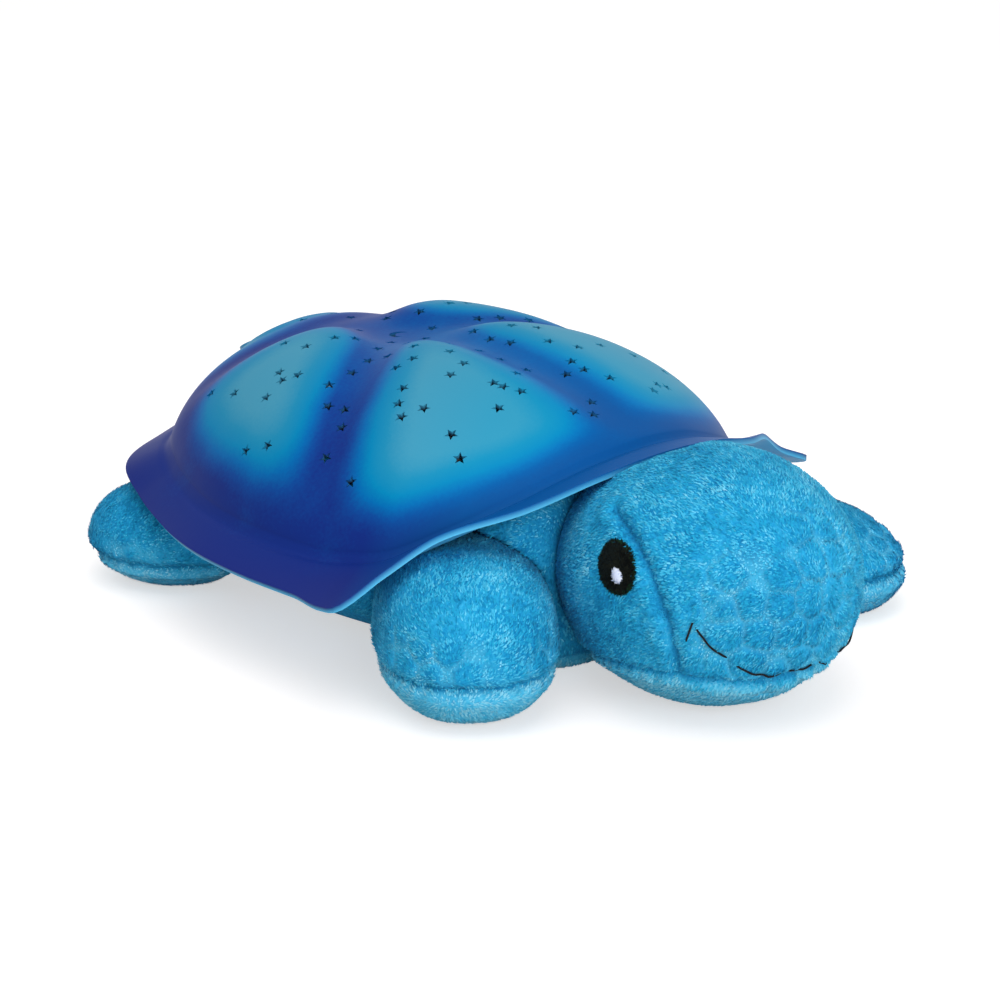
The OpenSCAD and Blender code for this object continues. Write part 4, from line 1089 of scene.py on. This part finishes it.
def eye_patch(name, side, up, width, height, low, rise, material, slot, mirrored):
    """A domed oval of stitching on the head, from a flattened ball."""
    ball, faces = ball_of_rings()
    made = bpy.data.objects.new(name, bpy.data.meshes.new(name))
    bpy.context.collection.objects.link(made)
    made.data.from_pydata(ball, [], faces)
    turn = -1 if mirrored else 1
    spots = []
    for x, y, z in ball:
        along, tall = x * width / 2, y * height / 2
        across = along * math.cos(eye_lean) - tall * math.sin(eye_lean)
        above = along * math.sin(eye_lean) + tall * math.cos(eye_lean)
        out = low + (rise if z > 0 else 0.35) * z
        spots.append(on_cloth(turn * side, up, turn * across, above, out))
    put_places(made.data, np.array(spots))
    edit(made, "FACE", lambda f: True, (bpy.ops.mesh.normals_make_consistent, {"inside": False}))
    bpy.ops.object.shade_smooth()
    made.data.materials.append(material)
    for field in ("seam_and_shade", "under", "pressed"):
        write_attribute(made.data, field, np.zeros(len(spots)))
    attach(made, "turtle")
    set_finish(made, slot)
    return made


def from_middle(middle):
    return lambda s: s - middle + 1e-3


glint_middle = (85, 14)
glint_width = 3.4
glint_height = 4.6
for mirrored, side_name in ((False, "right"), (True, "left")):
    eye = eye_patch(side_name + "_eye_stitching", *eye_middle, eye_width, eye_height, 0.35, 0.9,
                    thread_black, "eye_thread", mirrored)
    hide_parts(side_name + "_eye")
    middle = places_of(eye.data).mean(0)
    pile(side_name + "_eye_loops", eye, from_middle(middle), black_tufts,
         lambda s: beside_eye(s) < 0.9, spacing=0.42, length=1.3, width=0.4, seed=41)
    pile(side_name + "_eye_edge", eye, from_middle(middle), green_tufts,
         lambda s: beside_eye(s) > 0.84, spacing=0.40, length=0.9, width=0.35, seed=42)
    glint = eye_patch(side_name + "_highlight", *glint_middle, glint_width, glint_height, 1.1, 0.9,
                      thread_white, "highlight_thread", mirrored)
    middle = places_of(glint.data).mean(0)
    pile(side_name + "_highlight_loops", glint, from_middle(middle), white_tufts,
         lambda s: s[:, 2] > 0, spacing=0.35, length=0.9, width=0.3, seed=43)
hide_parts("eye_highlights")

# ---- Mouth -------------------------------------------------------------------------------------
# A hand sewn smile in black thread of six strands, 0.7 mm thick: a running stitch with one small slanting
# stitch at each corner. Each stitch lies on the pile and goes down into the cloth at its ends.
thread_radius = 0.34
mouth_side = 51
mouth_low = -24
mouth_high = -1
SMILE = [(51, 39), (36, 15), (12, -12), (-15, -36), (-39, -51)]    # each stitch, by its side angles
thread, tree, shader = new_material("stranded_cotton", Roughness=0.8, Specular_IOR_Level=0.15)
place = add(tree, "TexCoord").outputs["Object"]
strands = add(tree, "TexNoise", {"Vector": place, "Scale": 2600, "Detail": 1}).outputs["Fac"]
thread_tones = ((0.35, "#0a0d12"), (0.7, "#20262e"))
colour = add(tree, "ValToRGB", {"Fac": strands}, stops=thread_tones).outputs["Color"]
tree.links.new(colour, shader.inputs["Base Color"])


def stitch(line):
    """One stitch of thread over the pile along (side, up) places, down into the cloth at both ends."""
    curve = bpy.data.curves.new("stitch", "CURVE")
    curve.dimensions = "3D"
    curve.bevel_depth = thread_radius * MM
    curve.bevel_resolution = 3
    curve.use_fill_caps = True
    spline = curve.splines.new("POLY")
    steps = 13
    spline.points.add(steps - 1)
    for i in range(steps):
        t = i / (steps - 1)
        knots = np.linspace(0, 1, len(line))
        side, up = (np.interp(t, knots, [place[k] for place in line]) for k in (0, 1))
        spot = on_cloth(side, up, 0, 0, -0.3 + 1.15 * math.sin(math.pi * t) ** 0.5)
        spline.points[i].co = (*(spot * MM), 1)
    made = bpy.data.objects.new("stitch", curve)
    bpy.context.collection.objects.link(made)
    take(made)
    bpy.ops.object.convert(target="MESH")
    return bpy.context.object


def smile(side):
    return side, mouth_low + (mouth_high - mouth_low) * (abs(side) / mouth_side) ** 3


sewn = [stitch([smile(side) for side in np.linspace(*ends, 4)]) for ends in SMILE]
for turn in (1, -1):
    sewn.append(stitch([(turn * (mouth_side + 1), 1.5), (turn * (mouth_side + 3.4), -6.3)]))
mouth = joined("mouth_thread", sewn)
mouth.data.materials.append(thread)
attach(mouth, "turtle")
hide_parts("mouth_stitching")
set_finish(mouth, "mouth_thread")

# ---- Floor, backdrop and light -----------------------------------------------------------------
# A plain pale floor that keeps the soft shadow, under one wide overhead soft box and a fill. Floor and
# backdrop look white, but give the toy less light than white paper would.


def seen_directly(tree):
    """1 for a ray from the camera, off a gloss or through a clear part, and 0 for diffuse light."""
    path = add(tree, "LightPath").outputs
    straight = {0: path["Is Camera Ray"], 1: path["Is Glossy Ray"]}
    seen = add(tree, "Math", straight, operation="MAXIMUM").outputs[0]
    return add(tree, "Math", {0: seen, 1: path["Is Transmission Ray"]}, operation="MAXIMUM").outputs[0]


bpy.ops.mesh.primitive_plane_add(size=6)
floor = bpy.context.object
floor.name = "floor"
paper, tree, shader = new_material("backdrop_paper", Roughness=1.0, Specular_IOR_Level=0.0)
shader.inputs["Base Color"].default_value = rgb("#d6d1cf")
lift = add(tree, "Math", {0: seen_directly(tree), 1: 0.55}, operation="MULTIPLY").outputs[0]
shader.inputs["Emission Color"].default_value = (1, 1, 1, 1)
tree.links.new(lift, shader.inputs["Emission Strength"])
floor.data.materials.append(paper)

world = bpy.data.worlds.new("studio")
bpy.context.scene.world = world
world.use_nodes = True
tree = world.node_tree
background = tree.nodes["Background"]
strength = add(tree, "Mix", {0: seen_directly(tree), 2: 0.6, 3: 1.0}).outputs[0]
background.inputs["Color"].default_value = (1, 1, 1, 1)
tree.links.new(strength, background.inputs["Strength"])


def soft_box(name, place, size, power):
    """A square area lamp that looks at the toy."""
    bpy.ops.object.light_add(type="AREA", location=place)
    lamp = bpy.context.object
    lamp.name = name
    lamp.data.size = size
    lamp.data.energy = power
    lamp.rotation_mode = "QUATERNION"
    lamp.rotation_quaternion = (camera_target - Vector(place)).to_track_quat("-Z", "Y")


soft_box("overhead", (-0.25, -0.15, 1.1), 0.9, 5.0)
soft_box("fill", (-0.45, -1.15, 0.38), 0.8, 8.0)
